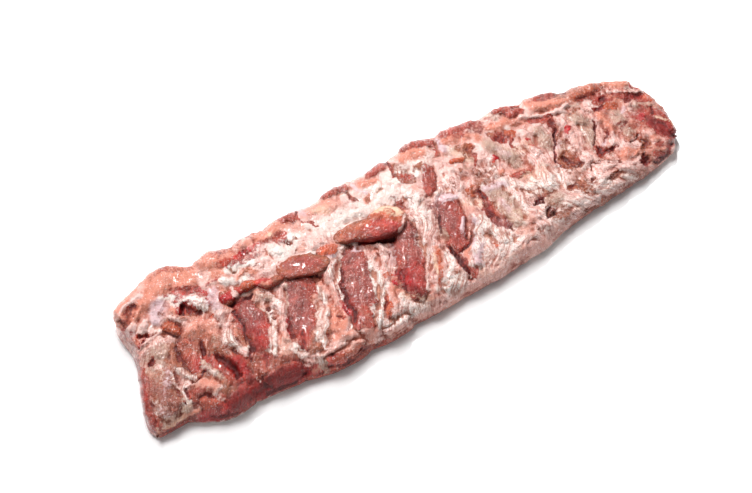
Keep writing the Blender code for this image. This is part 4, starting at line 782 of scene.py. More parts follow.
# The loose flaps: what lies on them
FLAP_FORMS = (
    wash(LEAN, 0.7, (-82, 14, 3), (-66, 10, 4), (-54, 8, 3)),
    wash(LEAN, 0.8, (-36, 13, 3), (-20, 9, 4), (0, 4, 4.4), (12, 6, 4)),
    # Painted shade on the lower front of the far flap, which overhangs the meat
    wash(DARK_MEAT_AND_SHADE, 0.75, (-24, 9, 2), (-12, 6, 2.6), (0, 1.6, 2.6), (8, 2, 2)),
    form(DARK_MEAT_AND_SHADE, 0.6, (-120, 21, 4), (-117, 19, 4), cover=0.8),
    wash(BLOOD, 0.6, (-121, 20, 4), (-117, 21, 4)),
    wash(BLOOD, 0.4, (-120, 20, 6), (-104, 20, 6), (-92, 16, 7)),
    form(PINK, 0.8, (-112.4, 25, 1.6), (-112.6, 18, 1.7)),
    wash(BLOOD, 0.5, (-108, 19, 3), (-107, 23, 2.4)),
    form(ORANGE, 0.8, (-103, 22, 4), (-98, 20, 3.6)),
    wash(BLOOD, 0.45, (-103, 16, 3), (-97, 13.6, 3)),
    form(BLOOD, 0.6, (-94, 17, 4), (-88, 15, 5), cover=0.55),
    form(SALMON, 0.6, (-92, 15, 3.6), (-87, 15, 3.4), cover=0.6),
    form(ORANGE, 0.2, (-94, 10.6, 1.6), (-89, 9.6, 1.6)),
    form(BROWN, 0.4, (-84, 15.6, 3.4), cover=0.8),
    form(PINK, 0.2, (-80, 23, 0.8), (-74, 27.4, 0.8), (-66, 28, 0.8), (-55, 23, 0.8)),
    wash(ORANGE, 0.35, (-78, 22, 4), (-68, 22, 5), (-60, 19, 4)),
    form(LEAN, 0.4, (-72, 21, 5), (-62, 17, 6), (-54, 13, 4)),
    wash(BLOOD, 0.2, (-64, 20, 1.2), (-56, 14, 1.2)),
    wash(ORANGE, 0.4, (-28, 22, 5), (-16, 19, 6), (-6, 20, 5)),
    wash(LEAN, 0.5, (-26, 18, 4), (-14, 15, 5)),
    wash(LEAN, 0.7, (-12, 16, 5), (-2, 12, 6), (6, 9, 5)),
    # More painted shade on the far flap's lower front
    wash(DARK_MEAT_AND_SHADE, 0.6, (-12, 9, 3), (-2, 6, 4), (6, 5, 4)),
    wash(BLOOD, 0.3, (-8, 16, 4), (0, 12, 5), (6, 10, 4)),
    form(BLOOD, -0.4, (-6, 20, 1), (2, 17, 1.6), (7, 12, 1.8), cover=0.5),
    wash(DARK_MEAT_AND_SHADE, 0.35, (-2, 18, 1.2), (5, 13.6, 1.6)),
    form(ORANGE, 0.8, (-2, 26, 3), (5, 24, 6), (12, 20, 7), (16, 15, 4), cover=0.85),
    wash(TALLOW, 0.5, (-2, 27, 2.4), (6, 26, 4), (13, 21, 4.6), (16, 16, 3)),
    form(TALLOW, 0.2, (2, 26.6, 1.3), (8, 28, 1.3), (14, 25, 1.3), (16.4, 17, 1.6)),
    form(PINK, 0.2, (18, 12, 1.4), (12, 7, 1), (5, 2.6, 0.8)),
)


class Noise:
    """Seeded smooth noise from -1 to 1 over points in millimetres."""

    SIDE = 4096
    FINER = 2.1
    WEAKER = 1.9
    APART = 31.7
    SPREAD = 1.6

    def __init__(self, seed: int) -> None:
        """Draws the lattice for a seed."""
        draw = np.random.default_rng(seed)
        self.values = draw.uniform(-1.0, 1.0, self.SIDE)
        self.order = draw.permutation(self.SIDE)

    def smooth(self, points: Points, size: float) -> np.ndarray:
        """Smooth noise with features about as wide as given.

        Args:
            points: an array of n by 2 or n by 3.
            size: width of a feature in millimetres.

        Returns:
            One value from -1 to 1 for each point.
        """
        cell = points / size
        base = np.floor(cell)
        part = cell - base
        ease = part * part * part * (part * (part * 6 - 15) + 10)
        whole = base.astype(np.int64)
        total = np.zeros(len(points))
        for corner in np.ndindex(*(2,) * points.shape[1]):
            key = np.zeros(len(points), np.int64)
            weight = np.ones(len(points))
            for axis, step in enumerate(corner):
                key = self.order[(key + whole[:, axis] + step) & (self.SIDE - 1)]
                weight = weight * (ease[:, axis] if step else 1 - ease[:, axis])
            total += self.values[key] * weight
        return total

    def fractal(self, points: Points, size: float, steps: int = 3) -> np.ndarray:
        """Noise summed over ever finer steps.

        Args:
            points: an array of n by 2 or n by 3.
            size: width of the largest features in millimetres.
            steps: how many times the features are halved.

        Returns:
            One value for each point, mostly from -1 to 1.
        """
        total = np.zeros(len(points))
        for step in range(steps):
            total += self.smooth(points + self.APART * step, size / self.FINER**step) / self.WEAKER**step
        return total / self.SPREAD


@dataclass(frozen=True)
class Outlook:
    """Where the rack is looked at from, in plan millimetres, and how its forms are read along that sight."""

    elevation: float = 50.0
    bearing: float = 34.5
    distance: float = 1020.4
    right_of_mark: float = 12.925
    below_mark: float = 10.544
    sensor: float = 36.0
    lens: float = 71.81

    def axes(self) -> tuple[np.ndarray, np.ndarray, np.ndarray]:
        """The sight's right, up and forward directions."""
        turn, tilt = math.radians(self.bearing), math.radians(self.elevation)
        away = np.array([math.sin(turn), math.cos(turn), 0.0])
        right = np.array([math.cos(turn), -math.sin(turn), 0.0])
        up = away * math.sin(tilt) + np.array([0.0, 0.0, math.cos(tilt)])
        forward = away * math.cos(tilt) - np.array([0.0, 0.0, math.sin(tilt)])
        return right, up, forward

    def eye(self) -> np.ndarray:
        """The place of the eye in plan millimetres."""
        right, up, forward = self.axes()
        return -(self.distance * forward + self.right_of_mark * right - self.below_mark * up)

    def read(self, points: Points) -> Points:
        """Plan places at which points are read on the level plane.

        Args:
            points: places in plan millimetres, n by 3.

        Returns:
            Their places on the plane along the sight, n by 2.
        """
        eye = self.eye()
        share = (eye[2] - READ_PLANE) / (eye[2] - points[:, 2])
        return eye[:2] + (points[:, :2] - eye[:2]) * share[:, None]


def curve_through(pairs: tuple[tuple[float, float], ...], at: np.ndarray) -> np.ndarray:
    """A smooth curve through given pairs.

    Args:
        pairs: places and values.
        at: the places to read the curve at.

    Returns:
        The value at each place.
    """
    places = np.array([p[0] for p in pairs])
    values = np.array([p[1] for p in pairs])
    slopes = np.gradient(values, places)
    at = np.clip(at, places[0], places[-1])
    k = np.clip(np.searchsorted(places, at) - 1, 0, len(places) - 2)
    span = places[k + 1] - places[k]
    t = (at - places[k]) / span
    return (values[k] * (1 + 2 * t) * (1 - t) ** 2 + slopes[k] * span * t * (1 - t) ** 2
            + values[k + 1] * t * t * (3 - 2 * t) + slopes[k + 1] * span * t * t * (t - 1))


def scallops(notches: tuple[float, ...], at: np.ndarray) -> np.ndarray:
    """0 at each notch, rising to 1 between two of them.

    Args:
        notches: the places of the notches.
        at: the places to read.

    Returns:
        A value from 0 to 1 for each place.
    """
    places = np.array(notches)
    k = np.clip(np.searchsorted(places, at) - 1, 0, len(places) - 2)
    t = np.clip((at - places[k]) / (places[k + 1] - places[k]), 0.0, 1.0)
    return np.sin(math.pi * t) ** 0.45


def quarter_round(distance: np.ndarray, radius: float) -> np.ndarray:
    """0 at an edge, rising on a quarter circle to 1 at the radius from it."""
    t = np.clip(distance / radius, 0.0, 1.0)
    return np.sqrt(1 - (1 - t) ** 2)


def smooth_step(low: np.ndarray | float, high: np.ndarray | float, value: np.ndarray) -> np.ndarray:
    """0 below the low limit and 1 above the high one, with a smooth rise between."""
    t = np.clip((value - low) / (high - low), 0.0, 1.0)
    return t * t * (3 - 2 * t)


def finer_stations(stations: Triples) -> np.ndarray:
    """The stations of a stroke with two more between each pair, on a smooth curve.

    Args:
        stations: x, y and half width of each station.

    Returns:
        The finer stations, one row each.
    """
    given = np.array(stations, float)
    if len(given) < 3:
        return given
    at = np.linspace(0.0, len(given) - 1.0, 3 * (len(given) - 1) + 1)
    places = tuple(range(len(given)))
    return np.stack([curve_through(tuple(zip(places, column)), at) for column in given.T], -1)


@dataclass
class Anatomy:
    """Lays forms on a surface and says how high it stands and what it is made of there."""

    forms: tuple[Form, ...]
    base: Tissue = ROSE
    creased_from: float = 4.0
    crease_share: float = 0.4
    crease_width: float = 1.4
    wander: Noise = field(default_factory=lambda: Noise(5))
    strokes: list[np.ndarray] = field(init=False)

    def __post_init__(self) -> None:
        """Makes the smooth strokes once."""
        self.strokes = [finer_stations(made.stations) for made in self.forms]

    def wandered(self, places: Points) -> Points:
        """The places, pushed about a little so that no outline stays clean.

        Args:
            places: n by 2 plan places.

        Returns:
            The pushed places.
        """
        moved = places.copy()
        for size, reach in ((8.0, 1.2), (3.2, 0.9), (1.5, 0.55)):
            moved[:, 0] += reach * self.wander.smooth(places + 11.0, size)
            moved[:, 1] += reach * self.wander.smooth(places - 57.0, size)
        return moved

    def depth(self, stroke: np.ndarray, places: Points) -> tuple[np.ndarray, np.ndarray]:
        """How far places lie inside a stroke.

        Args:
            stroke: its stations, one row each.
            places: n by 2 plan places.

        Returns:
            The depth in millimetres, above zero inside, and the share of the half width.
        """
        deepest = np.full(len(places), -1e9)
        share = np.full(len(places), -1e9)
        for start, stop in zip(stroke, stroke[1:] if len(stroke) > 1 else stroke):
            run = stop[:2] - start[:2]
            along = np.clip(((places - start[:2]) @ run) / max(run @ run, 1e-9), 0.0, 1.0)
            half = start[2] + (stop[2] - start[2]) * along
            away = np.hypot(*(places - start[:2] - along[:, None] * run).T)
            deepest = np.maximum(deepest, half - away)
            share = np.maximum(share, 1 - away / half)
        return deepest, share

    def lay(self, places: Points) -> tuple[np.ndarray, np.ndarray]:
        """Lays all forms.

        Args:
            places: n by 2 plan places at which the surface is read.

        Returns:
            The height at each place in millimetres, and the share of each tissue there.
        """
        moved = self.wandered(places)
        height = np.zeros(len(places))
        shares = np.zeros((len(places), len(Tissue)))
        shares[:, self.base.place] = 1.0
        self.blend_base(moved, shares)
        for made, stroke in zip(self.forms, self.strokes):
            reach = stroke[:, 2].max() + 3.0
            low, high = stroke[:, :2].min(0) - reach, stroke[:, :2].max(0) + reach
            near = np.flatnonzero(((moved > low) & (moved < high)).all(1))
            if not len(near):
                continue
            depth, share = self.depth(stroke, moved[near])
            soft = 0.6 + (0.26 if made.tissue.fatty else 0.14) * stroke[:, 2].max()
            cover = smooth_step(-soft, soft, depth) * made.cover
            shares[near] *= 1 - cover[:, None]
            shares[near, made.tissue.place] += cover
            height[near] += self.raised(made, stroke, depth, share)
        return height, shares

    def raised(self, made: Form, stroke: np.ndarray, depth: np.ndarray, share: np.ndarray) -> np.ndarray:
        """The height that one form adds: a pillow with a crease round it, or a smooth hollow.

        Args:
            made: the form.
            stroke: its stations.
            depth: how far each place lies inside.
            share: the same as a share of the half width.

        Returns:
            The height in millimetres.
        """
        if not made.rise:
            return np.zeros(len(depth))
        full = np.clip(1 - (1 - np.clip(share, 0.0, 1.0)) ** 2, 0.0, 1.0)
        if made.rise < 0 or made.tissue.fatty:
            return made.rise * full**1.2
        pillow = made.rise * full**0.8
        if stroke[:, 2].max() > self.creased_from:
            pillow -= self.crease_share * made.rise * np.exp(-((depth / self.crease_width) ** 2))
        return pillow

    def blend_base(self, places: Points, shares: np.ndarray) -> None:
        """Varies the base between its near kinds."""
        if self.base is not ROSE:
            return
        self.mix_in(shares, PINK, 0.75 * smooth_step(-0.2, 0.4, self.wander.fractal(places, 12.0)))
        self.mix_in(shares, CREAM, 0.7 * smooth_step(0.1, 0.6, self.wander.fractal(places + 50.0, 8.0)))
        self.mix_in(shares, SALMON, 0.6 * smooth_step(0.05, 0.6, self.wander.fractal(places + 90.0, 11.0)))
        self.mix_in(shares, BROWN, 0.6 * smooth_step(0.15, 0.7, self.wander.fractal(places - 80.0, 6.0)))
        low_front = smooth_step(-52.0, -60.0, places[:, 1])
        self.mix_in(shares, SALMON, 0.6 * low_front)
        self.mix_in(shares, BROWN, 0.7 * low_front * smooth_step(-0.4, 0.4, self.wander.fractal(places, 7.0)))

    @staticmethod
    def mix_in(shares: np.ndarray, tissue: Tissue, amount: np.ndarray) -> None:
        """Covers the shares with an amount of one tissue."""
        shares *= 1 - amount[:, None]
        shares[:, tissue.place] += amount


def crumbliness(places: Points, shares: np.ndarray) -> np.ndarray:
    """How lumpy the surface is: by its tissues, and smoother on the back strip.

    Args:
        places: n by 2 plan places.
        shares: share of each tissue there.

    Returns:
        From 0 for smooth to 1 for crumbs of fat.
    """
    return shares @ np.array([t.crumbly for t in Tissue]) * (1 - 0.75 * smooth_step(20.0, 32.0, places[:, 1]))


def skin_attributes(mesh: bpy.types.Mesh, shares: np.ndarray, grain: Points, sunk: np.ndarray) -> None:
    """Writes what the finish reads: meat and fat tones, the share of fat, the grain, and what is sunk, which
    it darkens as painted shade.

    Args:
        mesh: the mesh, one row of shares for each vertex.
        shares: share of each tissue.
        grain: places along and across the muscle fibres in millimetres, n by 3.
        sunk: how far each vertex lies below its surroundings, in millimetres.
    """
    fatty = np.array([t.fatty for t in Tissue])
    tones = np.array([t.tone for t in Tissue])
    fat_share = shares[:, fatty].sum(1)
    for name, kinds, fallback in (("meat_tone", ~fatty, LEAN), ("fat_tone", fatty, PINK)):
        weight = shares[:, kinds]
        tone = (weight @ tones[kinds] + 0.02 * fallback.tone) / (weight.sum(1)[:, None] + 0.02)
        colour = np.concatenate([tone, np.ones((len(tone), 1))], 1)
        mesh.attributes.new(name, "FLOAT_COLOR", "POINT").data.foreach_set("color", colour.ravel())
    mesh.attributes.new("fat_share", "FLOAT", "POINT").data.foreach_set("value", fat_share)
    mesh.attributes.new("sunk", "FLOAT", "POINT").data.foreach_set("value", sunk)
    # The first grain measure stands for y here, which crumbliness reads
    crumbly = crumbliness(grain[:, [0, 0]], shares)
    deep = shares[:, DARK_MEAT_AND_SHADE.place] + 0.7 * shares[:, PLUM.place]
    mesh.attributes.new("deep", "FLOAT", "POINT").data.foreach_set("value", deep)
    mesh.attributes.new("crumbly", "FLOAT", "POINT").data.foreach_set("value", crumbly)
    mesh.attributes.new("grain", "FLOAT_VECTOR", "POINT").data.foreach_set("vector", grain.ravel())


def sunk_below(height: np.ndarray, rounds: int) -> np.ndarray:
    """How far each cell of a grid of heights lies below the mean round it.

    Args:
        height: rows by columns of heights.
        rounds: how many times the mean is spread by one cell.

    Returns:
        The depth, above zero in hollows.
    """
    mean = height.copy()
    for _ in range(rounds):
        for axis in (0, 1):
            mean = 0.5 * mean + 0.25 * (np.roll(mean, 1, axis) + np.roll(mean, -1, axis))
    return mean - height


def make_piece(name: str, points: Points, faces: list[tuple[int, ...]]) -> bpy.types.Object:
    """Makes a smooth mesh object that rides on the rack's body.

    Args:
        name: the piece's name.
        points: vertices in plan millimetres.
        faces: vertex numbers of each face.

    Returns:
        The object, linked to the scene.
    """
    mesh = bpy.data.meshes.new(name)
    mesh.from_pydata(((points - MARK) * MM).tolist(), [], faces)
    mesh.validate()
    mesh.shade_smooth()
    piece = bpy.data.objects.new(name, mesh)
    bpy.context.scene.collection.objects.link(piece)
    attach(piece, BODY)
    return piece


@dataclass
class RackSkin:
    """The whole outer skin of the rack: bone side, edges and underside in one closed mesh."""

    outlook: Outlook
    cells_along: int = 500
    cells_across: int = 156
    rows_near: int = 16
    rows_far: int = 18
    rows_front: int = 18
    rows_back: int = 22
    round_near: float = 5.0
    round_far: float = 11.0
    round_front: float = 9.0
    round_back: float = 13.0
    nominal_width: float = 118.0
    nominal_length: float = 436.0
    seam_height: float = 7.5
    settling_rounds: int = 3
    # How far round the sunk depth is measured, near and wide; the finish paints shade by it
    near_rounds: int = 7
    wide_rounds: int = 70
    wide_share: float = 0.3
    near_end: tuple = ((0.0, -204.0), (0.1, -206.0), (0.3, -201.0), (0.5, -192.5), (0.65, -188.0),
                       (0.9, -186.5), (1.0, -182.0))
    far_end: tuple = ((0.0, 219.0), (0.1, 231.0), (0.3, 238.0), (0.55, 243.0), (0.8, 240.0), (0.92, 232.0),
                      (1.0, 217.0))
    front_edge: tuple = ((-205.0, -37.0), (-182.0, -39.0), (-162.0, -49.0), (-125.0, -50.0), (-80.0, -58.0),
                         (-40.0, -58.0), (20.0, -56.0), (70.0, -55.0), (104.0, -51.5), (125.0, -47.0),
                         (160.0, -43.0), (208.0, -38.0), (240.0, -32.0))
    back_edge: tuple = ((-205.0, 53.0), (-184.0, 60.0), (-165.0, 68.0), (-140.0, 74.0), (-125.0, 67.0),
                        (-110.0, 66.5), (-80.0, 65.0), (-48.0, 67.5), (-20.0, 67.0), (10.0, 69.0),
                        (40.0, 71.0), (62.0, 74.0), (95.0, 71.0), (130.0, 68.0), (165.0, 62.5),
                        (190.0, 57.0), (208.0, 51.0), (225.0, 44.5), (245.0, 36.0))
    front_notches: tuple = (-215.0, -181.0, -138.0, -104.0, -55.0, -22.0, 110.0, 250.0)
    back_notches: tuple = (-205.0, -124.0, -94.0, -69.0, -30.0, 8.0, 78.0, 115.0, 148.0, 180.0, 240.0)
    front_notch_depth: float = 3.0
    back_notch_depth: float = 4.0
    crown: tuple = ((0.0, 18.0), (0.1, 21.0), (0.25, 22.0), (0.5, 22.5), (0.6, 24.5), (0.72, 28.0),
                    (0.86, 29.5), (1.0, 26.5))
    thickness_along: tuple = ((-202.0, 0.88), (-170.0, 1.0), (-60.0, 1.02), (60.0, 1.0), (140.0, 0.92),
                              (200.0, 0.82), (237.0, 0.7))
    noise: Noise = field(default_factory=lambda: Noise(17))

    def front(self, x: np.ndarray) -> np.ndarray:
        """Y of the front edge."""
        notch = 1 - scallops(self.front_notches, x)
        return curve_through(self.front_edge, x) + self.front_notch_depth * notch

    def back(self, x: np.ndarray) -> np.ndarray:
        """Y of the back edge."""
        notch = 1 - scallops(self.back_notches, x)
        return curve_through(self.back_edge, x) - self.back_notch_depth * notch

    @staticmethod
    def spaced(first: int, last: int, total: int, start: float, stop: float) -> np.ndarray:
        """Places from 0 to 1 that close up towards both edges as a quarter circle needs.

        Args:
            first: cells in the first rounding.
            last: cells in the last rounding.
            total: cells in all.
            start: where the first rounding ends.
            stop: where the last rounding starts.

        Returns:
            One place for each row of vertices.
        """
        opening = 1 - np.cos(np.linspace(0.0, math.pi / 2, first + 1)[:-1])
        closing = 1 - np.cos(np.linspace(0.0, math.pi / 2, last + 1)[:-1])
        middle = np.linspace(start, stop, total - first - last + 1)
        return np.concatenate([opening * start, middle, 1 - closing[::-1] * (1 - stop)])

    def sheets(self) -> tuple[Points, Points]:
        """The plain upper and under sheets on one grid of vertices.

        Returns:
            Two arrays of rows by columns by 3, in plan millimetres.
        """
        v = self.spaced(self.rows_front, self.rows_back, self.cells_across,
                        self.round_front / self.nominal_width, 1 - self.round_back / self.nominal_width)
        u = self.spaced(self.rows_near, self.rows_far, self.cells_along,
                        self.round_near / self.nominal_length, 1 - self.round_far / self.nominal_length)
        near, far = curve_through(self.near_end, v), curve_through(self.far_end, v)
        x = near + u[:, None] * (far - near)
        front, back = self.front(x), self.back(x)
        y = front + v * (back - front)
        edge = (quarter_round(y - front, self.round_front) * quarter_round(back - y, self.round_back)
                * quarter_round(x - near, self.round_near) * quarter_round(far - x, self.round_far))
        edge[0], edge[-1], edge[:, 0], edge[:, -1] = 0.0, 0.0, 0.0, 0.0
        height = curve_through(self.crown, v) * curve_through(self.thickness_along, x)
        seam = self.seam_height
        upper = np.stack([x, y, seam + (height - seam) * edge], -1)
        under = np.stack([x, y, seam * (1 - edge**0.7)], -1)
        return upper, under

    @staticmethod
    def outward(sheet: Points) -> Points:
        """Unit normals of a sheet, pointing up."""
        normal = np.cross(np.gradient(sheet, axis=0), np.gradient(sheet, axis=1))
        return normal / np.maximum(np.linalg.norm(normal, axis=-1, keepdims=True), 1e-9)

    def roughness(self, places: Points, shares: np.ndarray) -> np.ndarray:
        """Small lumps and wrinkles: rounder on fat, drawn out along the fibres on muscle.

        Args:
            places: n by 2 plan places.
            shares: share of each tissue.

        Returns:
            The height in millimetres.
        """
        fat = crumbliness(places, shares)
        grain = grain_places(places)[:, :2]
        lumps = 1.1 * self.noise.smooth(places, 9.0) + (0.35 + 0.5 * fat) * self.noise.smooth(places, 4.2)
        strands = np.abs(self.noise.smooth(grain / np.array([3.2, 1.0]), 3.4))
        strands = strands + (0.35 - strands) * smooth_step(30.0, 42.0, places[:, 1])
        crumbs = self.noise.smooth(places, 2.1)
        threads = self.noise.smooth(grain / np.array([4.0, 1.0]), 1.9)
        return lumps + fat * (0.9 * (0.35 - strands) + 0.3 * crumbs + 0.3 * threads) + (1 - fat) * (
            0.24 * threads + 0.16 * crumbs)

    def displaced(self, sheet: Points, normal: Points, anatomy: Anatomy,
                  keep: np.ndarray) -> tuple[Points, np.ndarray, np.ndarray]:
        """Raises a sheet along its normals by the forms that are read on it.

        Args:
            sheet: vertices, n by 3.
            normal: their unit normals.
            anatomy: the forms.
            keep: share of the relief kept at each vertex.

        Returns:
            The raised vertices, the tissue shares and the heights there.
        """
        moved = sheet
        shares, height = np.zeros((0, 0)), np.zeros(0)
        for _ in range(self.settling_rounds):
            places = self.outlook.read(moved)
            height, shares = anatomy.lay(places)
            height = (height + self.roughness(places, shares) - 1.2) * keep
            moved = sheet + normal * height[:, None]
        return moved, shares, height

    def build(self, anatomy: Anatomy) -> bpy.types.Object:
        """Builds the skin.

        Args:
            anatomy: the forms laid on it.

        Returns:
            The finished piece, without its material.
        """
        upper, under = self.sheets()
        rows, columns = upper.shape[:2]
        up = self.outward(upper)
        rim = np.zeros((rows, columns), bool)
        rim[0] = rim[-1] = rim[:, 0] = rim[:, -1] = True
        up[rim, 2] = 0.0
        up[rim] /= np.maximum(np.linalg.norm(up[rim], axis=-1, keepdims=True), 1e-9)
        top, top_shares, risen = self.displaced(upper.reshape(-1, 3), up.reshape(-1, 3), anatomy,
                                                np.ones(rows * columns))
        risen = risen.reshape(rows, columns)
        # How sunk each vertex is, which the finish darkens as painted shade
        sunk = sunk_below(risen, self.near_rounds) + self.wide_share * sunk_below(risen, self.wide_rounds)

        coarse = under[::2, ::2]
        down = -self.outward(coarse)
        fade = np.clip(coarse[..., 2] / self.seam_height, 0.0, 1.0).ravel()
        flat = coarse.reshape(-1, 3)
        low, low_shares, low_risen = self.displaced(flat, down.reshape(-1, 3), anatomy, fade)
        low[:, 2] += (1 - fade) * 0.8 * np.clip(self.noise.fractal(flat[:, :2], 16.0), 0.0, 1.0)
        low_shares = self.under_shares(flat, low_shares, fade)

        number = np.arange(rows * columns).reshape(rows, columns)
        low_rim = rim[::2, ::2]
        low_number = np.where(low_rim, number[::2, ::2], 0)
        low_number[~low_rim] = rows * columns + np.arange((~low_rim).sum())
        keep = ~low_rim.ravel()
        points = np.concatenate([top, low[keep]])
        points[:, 2] = np.maximum(points[:, 2], 0.0)
        shares = np.concatenate([top_shares, low_shares[keep]])
        low_sunk = sunk_below(low_risen.reshape(coarse.shape[:2]), self.near_rounds // 2).ravel()[keep]
        sunk = np.concatenate([sunk.ravel(), low_sunk])
        faces = self.top_faces(number) + self.under_faces(number, low_number)
        skin = make_piece("rack_skin", points, faces)
        skin_attributes(skin.data, shares, grain_places(self.outlook.read(points)), sunk)
        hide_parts(NODE)
        return skin

    def under_shares(self, points: Points, shares: np.ndarray, fade: np.ndarray) -> np.ndarray:
        """Tissues of the underside: lean muscle with patches and seams of fat, as a rack's outer side has.

        Args:
            points: the underside's vertices.
            shares: what the edge forms put there.
            fade: how much of that is kept.

        Returns:
            The tissue shares.
        """
        places = points[:, :2]
        own = np.zeros_like(shares)
        own[:, LEAN.place] = 1.0
        broad = self.noise.fractal(places, 46.0, 4)
        Anatomy.mix_in(own, BROWN, 0.4 * smooth_step(-0.2, 0.5, self.noise.fractal(places + 40.0, 21.0)))
        Anatomy.mix_in(own, SALMON, 0.85 * smooth_step(-0.05, 0.25, broad))
        Anatomy.mix_in(own, CREAM, 0.85 * smooth_step(0.2, 0.45, broad))
        seam = 1 - np.abs(self.noise.fractal(places - 33.0, 38.0, 3)) / 0.07
        Anatomy.mix_in(own, PINK, 0.8 * smooth_step(0.0, 1.0, seam))
        return shares * fade[:, None] + own * (1 - fade[:, None])

    @staticmethod
    def top_faces(number: np.ndarray) -> list[tuple[int, ...]]:
        """Quads of the upper sheet from its grid of vertex numbers."""
        quads = np.stack([number[:-1, :-1], number[1:, :-1], number[1:, 1:], number[:-1, 1:]], -1)
        return [tuple(quad) for quad in quads.reshape(-1, 4).tolist()]

    @staticmethod
    def under_faces(number: np.ndarray, low_number: np.ndarray) -> list[tuple[int, ...]]:
        """Faces of the coarser under sheet, whose outermost ones take in the fine vertices of the rim.

        Args:
            number: vertex numbers of the upper grid.
            low_number: vertex numbers of the under grid, which has half as many rows and columns.

        Returns:
            The faces.
        """
        rows, columns = low_number.shape
        faces = []
        for i in range(rows - 1):
            for j in range(columns - 1):
                loop = [low_number[i, j]]
                if i == 0:
                    loop.append(number[0, 2 * j + 1])
                loop.append(low_number[i, j + 1])
                if j == columns - 2:
                    loop.append(number[2 * i + 1, -1])
                loop.append(low_number[i + 1, j + 1])
                if i == rows - 2:
                    loop.append(number[-1, 2 * j + 1])
                loop.append(low_number[i + 1, j])
                if j == 0:
                    loop.append(number[2 * i + 1, 0])
                faces.append(tuple(int(n) for n in loop))
        return faces


GRAIN_SWIRL = Noise(43)


def grain_places(places: Points) -> Points:
    """Places measured along and across the muscle fibres, which lean as the ribs do.

    Args:
        places: n by 2 plan places.

    Returns:
        Along, across and zero, n by 3, in millimetres.
    """
    x, y = places[:, 0], places[:, 1]
    lean = np.interp(x, (-200.0, 20.0, 120.0, 220.0), (0.62, 0.62, 0.42, 0.3))
    swirl = 5.0 * GRAIN_SWIRL.smooth(places, 21.0) + 1.6 * GRAIN_SWIRL.smooth(places + 9.0, 9.0)
    swirl = swirl + np.interp(x, (40.0, 110.0), (0.0, 1.0)) * smooth_step(-18.0, -44.0, y) * 0.9 * (y + 18.0)
    return np.stack([y + swirl, x - lean * y + swirl, np.zeros(len(x))], -1)


@dataclass
class MuscleFlap:
    """A loose flap of muscle that lies on the bone side."""

    name: str
    stations: tuple[tuple[float, float, float, float, float], ...]
    outlook: Outlook
    base: Tissue = LEAN
    sides: int = 44
    spacing: float = 0.8
    knobs: float = 0.55
    noise: Noise = field(default_factory=lambda: Noise(29))

    def build(self, anatomy: Anatomy) -> bpy.types.Object:
        """Builds the flap.

        Args:
            anatomy: the forms laid on it.

        Returns:
            The piece, without its material.
        """
        stations = np.array(self.stations, float)
        eye = self.outlook.eye()
        share = (eye[2] - stations[:, 2]) / (eye[2] - READ_PLANE)
        stations[:, :2] = eye[:2] + (stations[:, :2] - eye[:2]) * share[:, None]
        length = np.hypot(*np.diff(stations[:, :2], axis=0).T).sum()
        rings = int(length / self.spacing)
        at = np.linspace(0.0, len(stations) - 1.0, rings)
        at_all = tuple(range(len(stations)))
        x, y, z, wide, thick = (curve_through(tuple(zip(at_all, column)), at) for column in stations.T)
        closing = np.sqrt(np.clip(1 - (2 * np.linspace(0, 1, rings) - 1) ** 8, 0.0, 1.0))
        heading = np.arctan2(np.gradient(y), np.gradient(x))
        turn = np.linspace(0.0, 2 * math.pi, self.sides, endpoint=False)
        across = (np.sign(np.cos(turn)) * np.abs(np.cos(turn)) ** 0.7) * (wide * closing)[:, None]
        lift = (np.sign(np.sin(turn)) * np.abs(np.sin(turn)) ** 0.55) * (thick * closing)[:, None]
        side = np.stack([-np.sin(heading), np.cos(heading), np.zeros(rings)], -1)
        centre = np.stack([x, y, z], -1)
        upward = np.array([0.0, 0.0, 1.0])
        grid = centre[:, None] + across[..., None] * side[:, None] + lift[..., None] * upward
        out = np.cos(turn)[None, :, None] * side[:, None] + np.sin(turn)[None, :, None] * upward
        points, normal = grid.reshape(-1, 3), out.reshape(-1, 3)
        shares = np.zeros((0, 0))
        moved = points
        for _ in range(2):
            height, shares = anatomy.lay(self.outlook.read(moved))
            height = height + self.knobs * self.noise.smooth(points, 5.0)
            height = height + 0.3 * self.noise.smooth(points, 2.6)
            moved = points + normal * (height * np.repeat(closing, self.sides))[:, None]
        faces = self.faces(rings)
        ends = np.stack([centre[0], centre[-1]])
        piece = make_piece(self.name, np.concatenate([moved, ends]), faces)
        shares = np.concatenate([shares, shares[:1], shares[-1:]])
        along = np.repeat(at * length / at[-1], self.sides)
        ring = np.tile(turn, rings) * np.repeat(wide, self.sides) * 0.6
        grain = np.stack([along, ring, np.zeros(len(along))], -1)
        grain = np.concatenate([grain, grain[:1], grain[-1:]])
        skin_attributes(piece.data, shares, grain, np.zeros(len(shares)))
        return piece

    def faces(self, rings: int) -> list[tuple[int, ...]]:
        """Quads between the rings, and a fan at each end.

        Args:
            rings: number of rings.

        Returns:
            The faces, facing out.
        """
        n = self.sides
        made = [(k * n + s, (k + 1) * n + s, (k + 1) * n + (s + 1) % n, k * n + (s + 1) % n)
                for k in range(rings - 1) for s in range(n)]
        first, last = rings * n, rings * n + 1
        made += [(first, s, (s + 1) % n) for s in range(n)]
        made += [(last, (rings - 1) * n + (s + 1) % n, (rings - 1) * n + s) for s in range(n)]
        return [face[::-1] for face in made]


